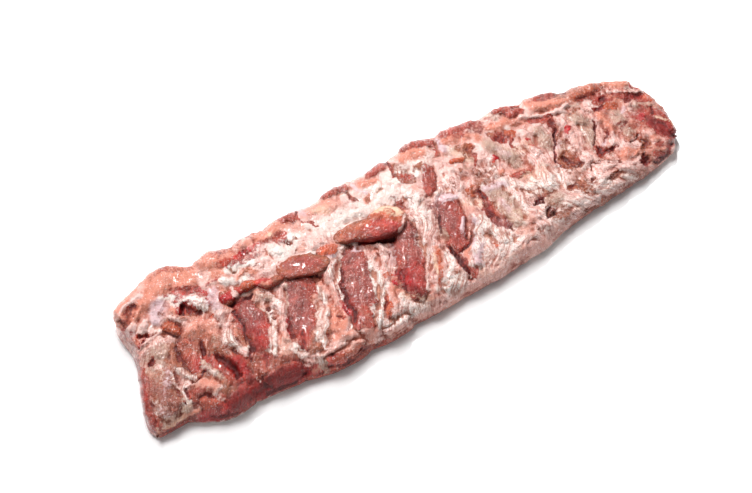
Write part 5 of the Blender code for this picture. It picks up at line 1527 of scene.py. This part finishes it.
# Each flap's name, how knobbly it is, and its stations: x, y, z, half width and half thickness
FLAPS = (
    ("flap_near", 1.5, (
        (-125.0, 18.0, 24.2, 2.2, 1.2), (-120.0, 20.0, 25.6, 5.6, 3.4), (-115.6, 20.4, 25.0, 3.3, 2.2),
        (-112.0, 21.2, 25.2, 4.4, 2.9), (-108.0, 20.4, 25.0, 2.7, 2.0), (-103.0, 20.8, 25.4, 3.9, 2.9),
        (-98.0, 19.4, 25.0, 2.7, 2.0), (-93.0, 16.6, 25.2, 4.3, 2.9), (-88.6, 14.6, 25.0, 3.2, 2.3),
        (-84.0, 15.0, 25.2, 3.6, 2.6), (-79.0, 14.0, 24.4, 2.2, 1.6))),
    ("flap_middle", 0.5, (
        (-81.0, 18.4, 24.6, 6.2, 1.7), (-75.0, 18.8, 25.2, 8.2, 2.2), (-65.0, 16.6, 25.4, 9.2, 2.4),
        (-56.0, 12.2, 25.0, 8.6, 2.4), (-50.0, 11.4, 24.4, 5.6, 2.0), (-46.0, 11.6, 23.6, 2.8, 1.2))),
    ("flap_far", 0.7, (
        (-37.0, 20.0, 24.6, 2.4, 1.4), (-29.0, 21.0, 25.6, 5.6, 2.6), (-18.0, 19.0, 26.2, 7.8, 3.2),
        (-8.0, 15.4, 26.0, 10.2, 3.6), (2.0, 14.6, 26.0, 11.6, 3.8), (11.0, 17.5, 26.0, 10.4, 3.4),
        (18.0, 19.0, 24.6, 5.4, 2.0))),
)


class NodeBench:
    """Short ways to add and wire shader nodes in one tree."""

    def __init__(self, tree: bpy.types.NodeTree) -> None:
        """Takes the tree to work in."""
        self.tree = tree

    def wire(self, node: bpy.types.Node, inputs: dict) -> bpy.types.Node:
        """Fills a node's inputs.

        Args:
            node: the node.
            inputs: values or output sockets for its inputs, by name or number.

        Returns:
            The same node.
        """
        for key, value in inputs.items():
            if isinstance(value, bpy.types.NodeSocket):
                self.tree.links.new(value, node.inputs[key])
            else:
                node.inputs[key].default_value = value
        return node

    def add(self, kind: str, inputs: dict | None = None, **settings: object) -> bpy.types.Node:
        """Adds a node.

        Args:
            kind: the node's type.
            inputs: values or output sockets for its inputs.
            settings: properties of the node.

        Returns:
            The node.
        """
        node = self.tree.nodes.new(kind)
        for name, value in settings.items():
            setattr(node, name, value)
        return self.wire(node, inputs or {})

    def maths(self, operation: str, *values: object) -> bpy.types.NodeSocket:
        """A sum on one or more values, and its result."""
        return self.add("ShaderNodeMath", dict(enumerate(values)), operation=operation).outputs[0]

    def times(self, first: object, second: object) -> bpy.types.NodeSocket:
        """The product of two values."""
        return self.maths("MULTIPLY", first, second)

    def scaled(self, vector: object, scale: object) -> bpy.types.NodeSocket:
        """A colour made lighter or darker, or a place measured in another unit."""
        return self.add("ShaderNodeVectorMath", {0: vector, "Scale": scale}, operation="SCALE").outputs[0]

    def blend(self, share: object, first: object, second: object, kind: str = "MIX") -> bpy.types.NodeSocket:
        """Two colours blended, where share is how much of the second shows."""
        node = self.add("ShaderNodeMix", {0: share, 6: first, 7: second}, data_type="RGBA", blend_type=kind)
        return node.outputs[2]

    def ramp(self, value: object, low: float, high: float, start: float = 0.0,
             stop: float = 1.0) -> bpy.types.NodeSocket:
        """A smooth step: start where the value is below low, stop where it is above high."""
        inputs = {"Value": value, "From Min": low, "From Max": high, "To Min": start, "To Max": stop}
        return self.add("ShaderNodeMapRange", inputs, interpolation_type="SMOOTHSTEP").outputs[0]

    def noise(self, place: object, scale: object, detail: float, roughness: float) -> bpy.types.NodeSocket:
        """Noise from 0 to 1, with detail as its steps of finer features and roughness as their strength."""
        inputs = {"Vector": place, "Scale": scale, "Detail": detail, "Roughness": roughness}
        return self.add("ShaderNodeTexNoise", inputs).outputs[0]

    def off_middle(self, noise: object) -> bpy.types.NodeSocket:
        """How far noise lies above its middle."""
        return self.maths("SUBTRACT", noise, 0.5)

    def tone(self, noise: object, contrast: object) -> bpy.types.NodeSocket:
        """Noise turned into a factor about 1."""
        return self.maths("ADD", self.times(self.off_middle(noise), contrast), 1.0)


@dataclass(frozen=True)
class EffectGroup:
    """A shader node group with named inputs and outputs: an input without a value is a vector."""

    name: str
    inputs: tuple[tuple[str, float | None], ...]
    outputs: tuple[str, ...]

    def start(self) -> tuple[NodeBench, bpy.types.NodeOutputs, bpy.types.Node]:
        """Makes the empty group.

        Returns:
            A bench to work on it, what it is given, and its output node.
        """
        tree = bpy.data.node_groups.new(self.name, "ShaderNodeTree")
        for name, value in self.inputs:
            kind = "NodeSocketVector" if value is None else "NodeSocketFloat"
            socket = tree.interface.new_socket(name, in_out="INPUT", socket_type=kind)
            if value is not None:
                socket.default_value = value
        for name in self.outputs:
            tree.interface.new_socket(name, in_out="OUTPUT", socket_type="NodeSocketFloat")
        bench = NodeBench(tree)
        return bench, bench.add("NodeGroupInput").outputs, bench.add("NodeGroupOutput")


def fibre_group() -> bpy.types.NodeTree:
    """Muscle fibres: fine lines along the grain, their tone and their height.

    Returns:
        The node group.
    """
    spec = EffectGroup("muscle_fibres", (("Grain", None), ("Contrast", 0.3)), ("Tone", "Height"))
    bench, given, made = spec.start()
    drawn = bench.add("ShaderNodeMapping", {"Vector": given["Grain"], "Scale": (0.13, 1.0, 1.0)}).outputs[0]
    fine, broad = bench.noise(drawn, 0.85, 3.0, 0.6), bench.noise(drawn, 0.3, 2.0, 0.5)
    both = bench.maths("ADD", bench.times(fine, 0.6), bench.times(broad, 0.4))
    bench.wire(made, {"Tone": bench.tone(both, given["Contrast"]), "Height": both})
    return bench.tree


def mottle_group() -> bpy.types.NodeTree:
    """Mottling: soft blotches, for colour and for height.

    Returns:
        The node group.
    """
    spec = EffectGroup("mottling", (("Place", None), ("Scale", 1.0), ("Contrast", 0.3)), ("Tone", "Height"))
    bench, given, made = spec.start()
    soft = bench.noise(given["Place"], given["Scale"], 4.0, 0.62)
    bench.wire(made, {"Tone": bench.tone(soft, given["Contrast"]), "Height": soft})
    return bench.tree


def ragged_group() -> bpy.types.NodeTree:
    """A ragged edge: turns a soft share into a mask whose outline frays.

    Returns:
        The node group.
    """
    inputs = (("Share", 0.5), ("Place", None), ("Scale", 1.0), ("Fray", 0.5))
    bench, given, made = EffectGroup("ragged_edge", inputs, ("Mask",)).start()
    share = given["Share"]
    mixed = bench.times(bench.times(share, bench.maths("SUBTRACT", 1.0, share)), 4.0)
    rough = bench.off_middle(bench.noise(given["Place"], given["Scale"], 5.0, 0.65))
    frayed = bench.maths("ADD", share, bench.times(rough, bench.times(given["Fray"], mixed)))
    bench.wire(made, {"Mask": bench.ramp(frayed, 0.26, 0.74)})
    return bench.tree


def crease_group() -> bpy.types.NodeTree:
    """Creases: thin wandering lines where a noise passes its middle, along which the finish paints shade.

    Returns:
        The node group.
    """
    spec = EffectGroup("creases", (("Place", None), ("Scale", 1.0), ("Width", 0.02)), ("Mask",))
    bench, given, made = spec.start()
    away = bench.maths("ABSOLUTE", bench.off_middle(bench.noise(given["Place"], given["Scale"], 3.0, 0.6)))
    line = bench.add("ShaderNodeMapRange", {"Value": away, "From Min": given["Width"], "From Max": 0.0})
    bench.wire(made, {"Mask": line.outputs[0]})
    return bench.tree


def fleck_group() -> bpy.types.NodeTree:
    """Flecks: small ragged specks scattered where the noise peaks.

    Returns:
        The node group.
    """
    spec = EffectGroup("flecks", (("Place", None), ("Scale", 1.0), ("Threshold", 0.62)), ("Mask",))
    bench, given, made = spec.start()
    noise = bench.noise(given["Place"], given["Scale"], 3.0, 0.7)
    bench.wire(made, {"Mask": bench.ramp(bench.maths("SUBTRACT", noise, given["Threshold"]), 0.0, 0.06)})
    return bench.tree


class SkinReading:
    """What a finish reads from the skin, and the effect groups placed on it, in millimetres."""

    def __init__(self, bench: NodeBench, groups: dict[str, bpy.types.NodeTree]) -> None:
        """Reads the skin's attributes and places."""
        self.bench = bench
        self.groups = groups
        self.meat, self.fat = self.read("meat_tone", "Color"), self.read("fat_tone", "Color")
        self.share, self.sunk = self.read("fat_share"), self.read("sunk")
        self.crumbly, self.deep = self.read("crumbly"), self.read("deep")
        self.grain = self.read("grain", "Vector")
        self.place = bench.scaled(bench.add("ShaderNodeTexCoord").outputs["Object"], 1.0 / MM)

    def read(self, name: str, kind: str = "Fac") -> bpy.types.NodeSocket:
        """One attribute of the skin."""
        return self.bench.add("ShaderNodeAttribute", attribute_name=name).outputs[kind]

    def effect(self, name: str, inputs: dict) -> bpy.types.NodeOutputs:
        """Places an effect group with its own values, and gives its outputs."""
        return self.bench.add("ShaderNodeGroup", inputs, node_tree=self.groups[name]).outputs

    def fibres(self, contrast: float) -> bpy.types.NodeOutputs:
        """Muscle fibres of a strength."""
        return self.effect("muscle_fibres", {"Grain": self.grain, "Contrast": contrast})

    def mottling(self, scale: float, contrast: float) -> bpy.types.NodeOutputs:
        """Blotches of a size and strength."""
        return self.effect("mottling", {"Place": self.place, "Scale": scale, "Contrast": contrast})

    def flecks(self, scale: float, threshold: float) -> bpy.types.NodeSocket:
        """Flecks of a size and number."""
        return self.effect("flecks", {"Place": self.place, "Scale": scale, "Threshold": threshold})[0]

    def creases(self, scale: float, width: float) -> bpy.types.NodeSocket:
        """Creases of a spacing and width."""
        return self.effect("creases", {"Place": self.place, "Scale": scale, "Width": width})[0]

    def fat_mask(self, scale: float, fray: float) -> bpy.types.NodeSocket:
        """Where fat shows rather than muscle, with frayed edges."""
        inputs = {"Share": self.share, "Place": self.place, "Scale": scale, "Fray": fray}
        return self.effect("ragged_edge", inputs)[0]


@dataclass(frozen=True)
class RawMeatFinish:
    """Wet raw meat: muscle with fibres and fine marbling, mottled fat, a film of moisture, painted glints,
    and painted shade in hollows, pits and creases.

    Pairs are the scale of an effect in features for each millimetre, and its strength or threshold.
    """

    name: str = "raw_pork_finish"
    meat_roughness: float = 0.18
    fat_roughness: float = 0.2
    hollow_roughness: float = 0.14
    fibre_height: float = 0.0011
    fat_height: float = 0.0007
    crumb_height: float = 0.0014
    fibre_contrast: float = 2.2
    strand_contrast: float = 0.5
    blotches: tuple = (0.14, 1.5)
    crumbs: tuple = (0.6, 1.1)
    lumps: tuple = (0.45, 0.22)
    patches: tuple = (0.13, 0.7)
    film: tuple = (0.5, 0.9)
    fray: tuple = (0.5, 1.6)
    marbling_flecks: tuple = (0.55, 0.63)
    blush_flecks: tuple = (0.2, 0.56)
    # The next two place painted glints: near-white flecks on fat and on meat
    painted_fat_glint_flecks: tuple = (0.8, 0.6)
    painted_meat_glint_flecks: tuple = (1.0, 0.61)
    # The next one spaces thin dark lines of painted shade in creases of fat
    crease_lines: tuple = (0.16, 0.022)
    marbling: tuple = (0.83, 0.6, 0.5, 1.0)
    blush: tuple = (0.62, 0.13, 0.1, 1.0)
    # Pits in fat: stain and painted shade
    pit_stain_and_shade: tuple = (0.54, 0.31, 0.26, 1.0)
    # Pale strands of fat, partly painted glints
    pale_strand_and_glint: tuple = (0.97, 0.9, 0.86, 1.0)
    # The next two are painted shade in hollows, on meat and on fat
    shade: tuple = (0.36, 0.08, 0.05, 1.0)
    fat_shade: tuple = (0.52, 0.25, 0.18, 1.0)
    # Painted glints
    painted_glint: tuple = (0.97, 0.9, 0.87, 1.0)
    # Painted shade in creases of fat
    crease_shade: tuple = (0.4, 0.1, 0.08, 1.0)
    depth_tint: tuple = (0.69, 0.66, 0.66, 1.0)
    scatter: float = 0.06
    scatter_depth: float = 0.0028
    scatter_reach: tuple = (1.0, 0.32, 0.2)
    wetness: float = 0.34
    coat: float = 0.1
    coat_roughness: float = 0.1

    def make(self, groups: dict[str, bpy.types.NodeTree]) -> bpy.types.Material:
        """Builds the material.

        Args:
            groups: the effect groups by name.

        Returns:
            The material.
        """
        material = bpy.data.materials.new(self.name)
        material.use_nodes = True
        shader = material.node_tree.nodes["Principled BSDF"]
        bench = NodeBench(material.node_tree)
        skin = SkinReading(bench, groups)
        fibres, crumbs = skin.fibres(self.fibre_contrast), skin.mottling(*self.crumbs)
        lumps, mask = skin.mottling(*self.lumps), skin.fat_mask(*self.fray)
        # Painted shade: meat and fat darker and redder where the skin is sunk
        muscle = self.with_hollow_shade(skin, self.muscle(skin, fibres, crumbs), self.shade)
        tallow = self.with_hollow_shade(skin, self.tallow(skin, lumps, crumbs), self.fat_shade)
        dull = bench.maths("MAXIMUM", bench.ramp(skin.deep, 0.1, 0.8), bench.ramp(skin.sunk, 0.3, 1.3))
        rough = bench.maths("ADD", bench.ramp(mask, 0.0, 1.0, self.meat_roughness, self.fat_roughness),
                            bench.times(dull, self.hollow_roughness))
        shader.subsurface_method = "RANDOM_WALK"
        bench.wire(shader, {
            "Base Color": bench.blend(1.0, bench.blend(mask, muscle, tallow), self.depth_tint, "MULTIPLY"),
            "Roughness": bench.times(rough, skin.mottling(*self.film)["Tone"]),
            "Coat Weight": bench.ramp(dull, 0.0, 0.8, self.coat, 0.0),
            "Coat Roughness": self.coat_roughness,
            "Normal": self.relief(skin, mask, fibres, lumps, crumbs),
            "Subsurface Weight": self.scatter,
            "Subsurface Radius": self.scatter_reach,
            "Subsurface Scale": self.scatter_depth,
            "Specular IOR Level": self.wetness,
        })
        return material

    def muscle(self, skin: SkinReading, fibres: bpy.types.NodeOutputs,
               crumbs: bpy.types.NodeOutputs) -> bpy.types.NodeSocket:
        """The colour of lean meat: its own tone with fibres, blotches, marbling and painted wet glints.

        Args:
            skin: what is read from the skin.
            fibres: the muscle fibres.
            crumbs: the finest mottling.

        Returns:
            The colour.
        """
        bench = skin.bench
        mottled = bench.times(skin.mottling(*self.blotches)["Tone"], crumbs["Tone"])
        colour = bench.scaled(skin.meat, bench.times(fibres["Tone"], mottled))
        colour = bench.blend(bench.times(skin.flecks(*self.marbling_flecks), 0.3), colour, self.marbling)
        silver = bench.ramp(skin.deep, 0.05, 0.5, 0.5, 0.0)
        silver = bench.times(bench.ramp(fibres["Height"], 0.55, 0.68), silver)
        colour = bench.blend(silver, colour, self.marbling)
        # Painted glints: near-white flecks, fewer where the meat is dark
        meat_glint_share = bench.ramp(skin.deep, 0.05, 0.6, 0.75, 0.1)
        return bench.blend(bench.times(skin.flecks(*self.painted_meat_glint_flecks), meat_glint_share), colour, self.painted_glint)

    def tallow(self, skin: SkinReading, lumps: bpy.types.NodeOutputs,
               crumbs: bpy.types.NodeOutputs) -> bpy.types.NodeSocket:
        """The colour of fat: its own tone with pits darkened as stain and painted shade, pale strands partly
        painted as glints, a blush, painted glints and creases painted as dark shade.

        Args:
            skin: what is read from the skin.
            lumps: the broad mottling of its relief.
            crumbs: the finest mottling.

        Returns:
            The colour.
        """
        bench = skin.bench
        strands = skin.fibres(self.strand_contrast)["Height"]
        colour = bench.scaled(skin.fat, bench.times(lumps["Tone"], skin.mottling(*self.patches)["Tone"]))
        # Pits in the fat's relief and gaps between strands, darkened as stain and painted shade
        pits = bench.ramp(crumbs["Height"], 0.47, 0.37)
        pits = bench.maths("MAXIMUM", bench.ramp(strands, 0.54, 0.4), pits)
        pit_shaded_and_stained = bench.blend(1.0, colour, self.pit_stain_and_shade, "MULTIPLY")
        colour = bench.blend(bench.times(pits, skin.crumbly), colour, pit_shaded_and_stained)
        # Pale strands of fat on the ridges, partly painted glints
        strand_and_glint_share = bench.times(bench.ramp(strands, 0.54, 0.66), bench.times(skin.crumbly, 0.7))
        colour = bench.blend(strand_and_glint_share, colour, self.pale_strand_and_glint)
        colour = bench.blend(bench.times(skin.flecks(*self.blush_flecks), 0.14), colour, self.blush)
        # Painted glints: near-white flecks
        colour = bench.blend(bench.times(skin.flecks(*self.painted_fat_glint_flecks), 0.75), colour, self.painted_glint)
        # Painted shade in thin creases
        crease_shade_share = bench.times(skin.creases(*self.crease_lines), bench.ramp(skin.crumbly, 0.0, 0.8, 0.15, 0.6))
        return bench.blend(crease_shade_share, colour, self.crease_shade)

    @staticmethod
    def with_hollow_shade(skin: SkinReading, colour: object, shade: tuple) -> bpy.types.NodeSocket:
        """A colour with painted shade: darker and redder where the skin is sunk."""
        dark = skin.bench.blend(1.0, colour, shade, "MULTIPLY")
        return skin.bench.blend(skin.bench.ramp(skin.sunk, 0.1, 1.1), colour, dark)

    def relief(self, skin: SkinReading, mask: object, fibres: bpy.types.NodeOutputs,
               lumps: bpy.types.NodeOutputs, crumbs: bpy.types.NodeOutputs) -> bpy.types.NodeSocket:
        """The finest relief, as a normal.

        Args:
            skin: what is read from the skin.
            mask: where fat shows.
            fibres: the muscle fibres.
            lumps: the broad mottling.
            crumbs: the finest mottling.

        Returns:
            The normal.
        """
        bench = skin.bench
        drawn = bench.ramp(mask, 0.0, 1.0, self.fibre_height, 0.3 * self.fibre_height)
        drawn = bench.times(fibres["Height"], drawn)
        rise = bench.ramp(skin.crumbly, 0.0, 1.0, 0.3 * self.fat_height, self.fat_height)
        pebbly = bench.maths("ADD", bench.times(lumps["Height"], rise),
                             bench.times(crumbs["Height"], self.crumb_height))
        height = bench.maths("ADD", drawn, pebbly)
        return bench.add("ShaderNodeBump", {"Height": height, "Strength": 1.0, "Distance": 1.0}).outputs[0]


@dataclass
class Studio:
    """A pale floor, soft lights and the camera."""

    outlook: Outlook
    floor_side: float = 6.0
    floor_gap: float = 0.0002
    floor_colour: tuple = (0.96, 0.96, 0.962)
    sky_strength: float = 0.25

    def floor(self) -> None:
        """Lays the pale floor just under the rack."""
        half = self.floor_side / 2
        mesh = bpy.data.meshes.new("studio_floor")
        corners = ((-half, -half), (half, -half), (half, half), (-half, half))
        mesh.from_pydata([(x, y, -self.floor_gap) for x, y in corners], [], [(0, 1, 2, 3)])
        floor = bpy.data.objects.new("studio_floor", mesh)
        bpy.context.scene.collection.objects.link(floor)
        material = bpy.data.materials.new("studio_floor_paint")
        material.use_nodes = True
        bench = NodeBench(material.node_tree)
        place = bench.add("ShaderNodeTexCoord").outputs["Object"]
        shade = bench.ramp(bench.noise(place, 3.0, 2.0, 0.5), 0.0, 1.0, 0.985, 1.0)
        tone = bench.scaled(self.floor_colour, shade)
        bench.wire(material.node_tree.nodes["Principled BSDF"],
                   {"Base Color": tone, "Roughness": 0.8, "Specular IOR Level": 0.1})
        mesh.materials.append(material)

    @staticmethod
    def lamp(name: str, place: tuple, power: float, side: float) -> None:
        """Hangs a square soft light that faces the rack.

        Args:
            name: its name.
            place: where it hangs, in metres.
            power: its power in watts.
            side: its side in metres.
        """
        data = bpy.data.lights.new(name, "AREA")
        data.energy, data.size = power, side
        lamp = bpy.data.objects.new(name, data)
        lamp.location = place
        lamp.rotation_mode = "QUATERNION"
        lamp.rotation_quaternion = (Vector((0.0, 0.0, 0.02)) - Vector(place)).to_track_quat("-Z", "Y")
        bpy.context.scene.collection.objects.link(lamp)

    def lights(self) -> None:
        """Lights the scene: a big soft lamp above and behind, a small crisp one, and a weak fill."""
        world = bpy.data.worlds.new("studio_sky")
        world.use_nodes = True
        sky = world.node_tree.nodes["Background"]
        sky.inputs["Color"].default_value = (1.0, 1.0, 1.0, 1.0)
        sky.inputs["Strength"].default_value = self.sky_strength
        bpy.context.scene.world = world
        self.lamp("key_lamp", place=(-0.3, 0.36, 1.4), power=20.0, side=0.75)
        self.lamp("crisp_lamp", place=(0.3, 0.74, 1.2), power=28.0, side=0.15)
        self.lamp("fill_lamp", place=(-0.9, -1.0, 0.9), power=2.2, side=0.9)

    def camera(self) -> None:
        """Sets up the camera at the rack's own viewing angle."""
        right, up, forward = self.outlook.axes()
        data = bpy.data.cameras.new("rack_camera")
        data.sensor_width, data.lens = self.outlook.sensor, self.outlook.lens
        data.clip_start, data.clip_end = 0.05, 50.0
        camera = bpy.data.objects.new("rack_camera", data)
        turn = Matrix((right, up, -forward)).transposed()
        place = (self.outlook.eye() - MARK) * MM
        camera.matrix_world = Matrix.Translation(Vector(place)) @ turn.to_4x4()
        bpy.context.scene.collection.objects.link(camera)
        bpy.context.scene.camera = camera

    def build(self) -> None:
        """Builds the whole studio, with plain colours that aren't toned."""
        self.floor()
        self.lights()
        self.camera()
        bpy.context.scene.view_settings.view_transform = "Standard"


def main() -> None:
    """Builds the rack, dresses it and sets up the studio."""
    logging.basicConfig(level=logging.INFO, format="%(message)s")
    outlook = Outlook()
    effects = (fibre_group(), mottle_group(), ragged_group(), crease_group(), fleck_group())
    groups = {tree.name: tree for tree in effects}
    finish = RawMeatFinish().make(groups)
    skin = RackSkin(outlook).build(Anatomy(RACK_FORMS))
    skin.data.materials.append(finish)
    log.info("rack_skin: %d faces", len(skin.data.polygons))
    on_flaps = Anatomy(FLAP_FORMS, base=BROWN)
    for name, knobs, stations in FLAPS:
        flap = MuscleFlap(name, stations, outlook, knobs=knobs).build(on_flaps)
        flap.data.materials.append(finish)
        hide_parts(NODE)
        log.info("%s: %d faces", name, len(flap.data.polygons))
    Studio(outlook).build()


if __name__ == "__main__":
    main()
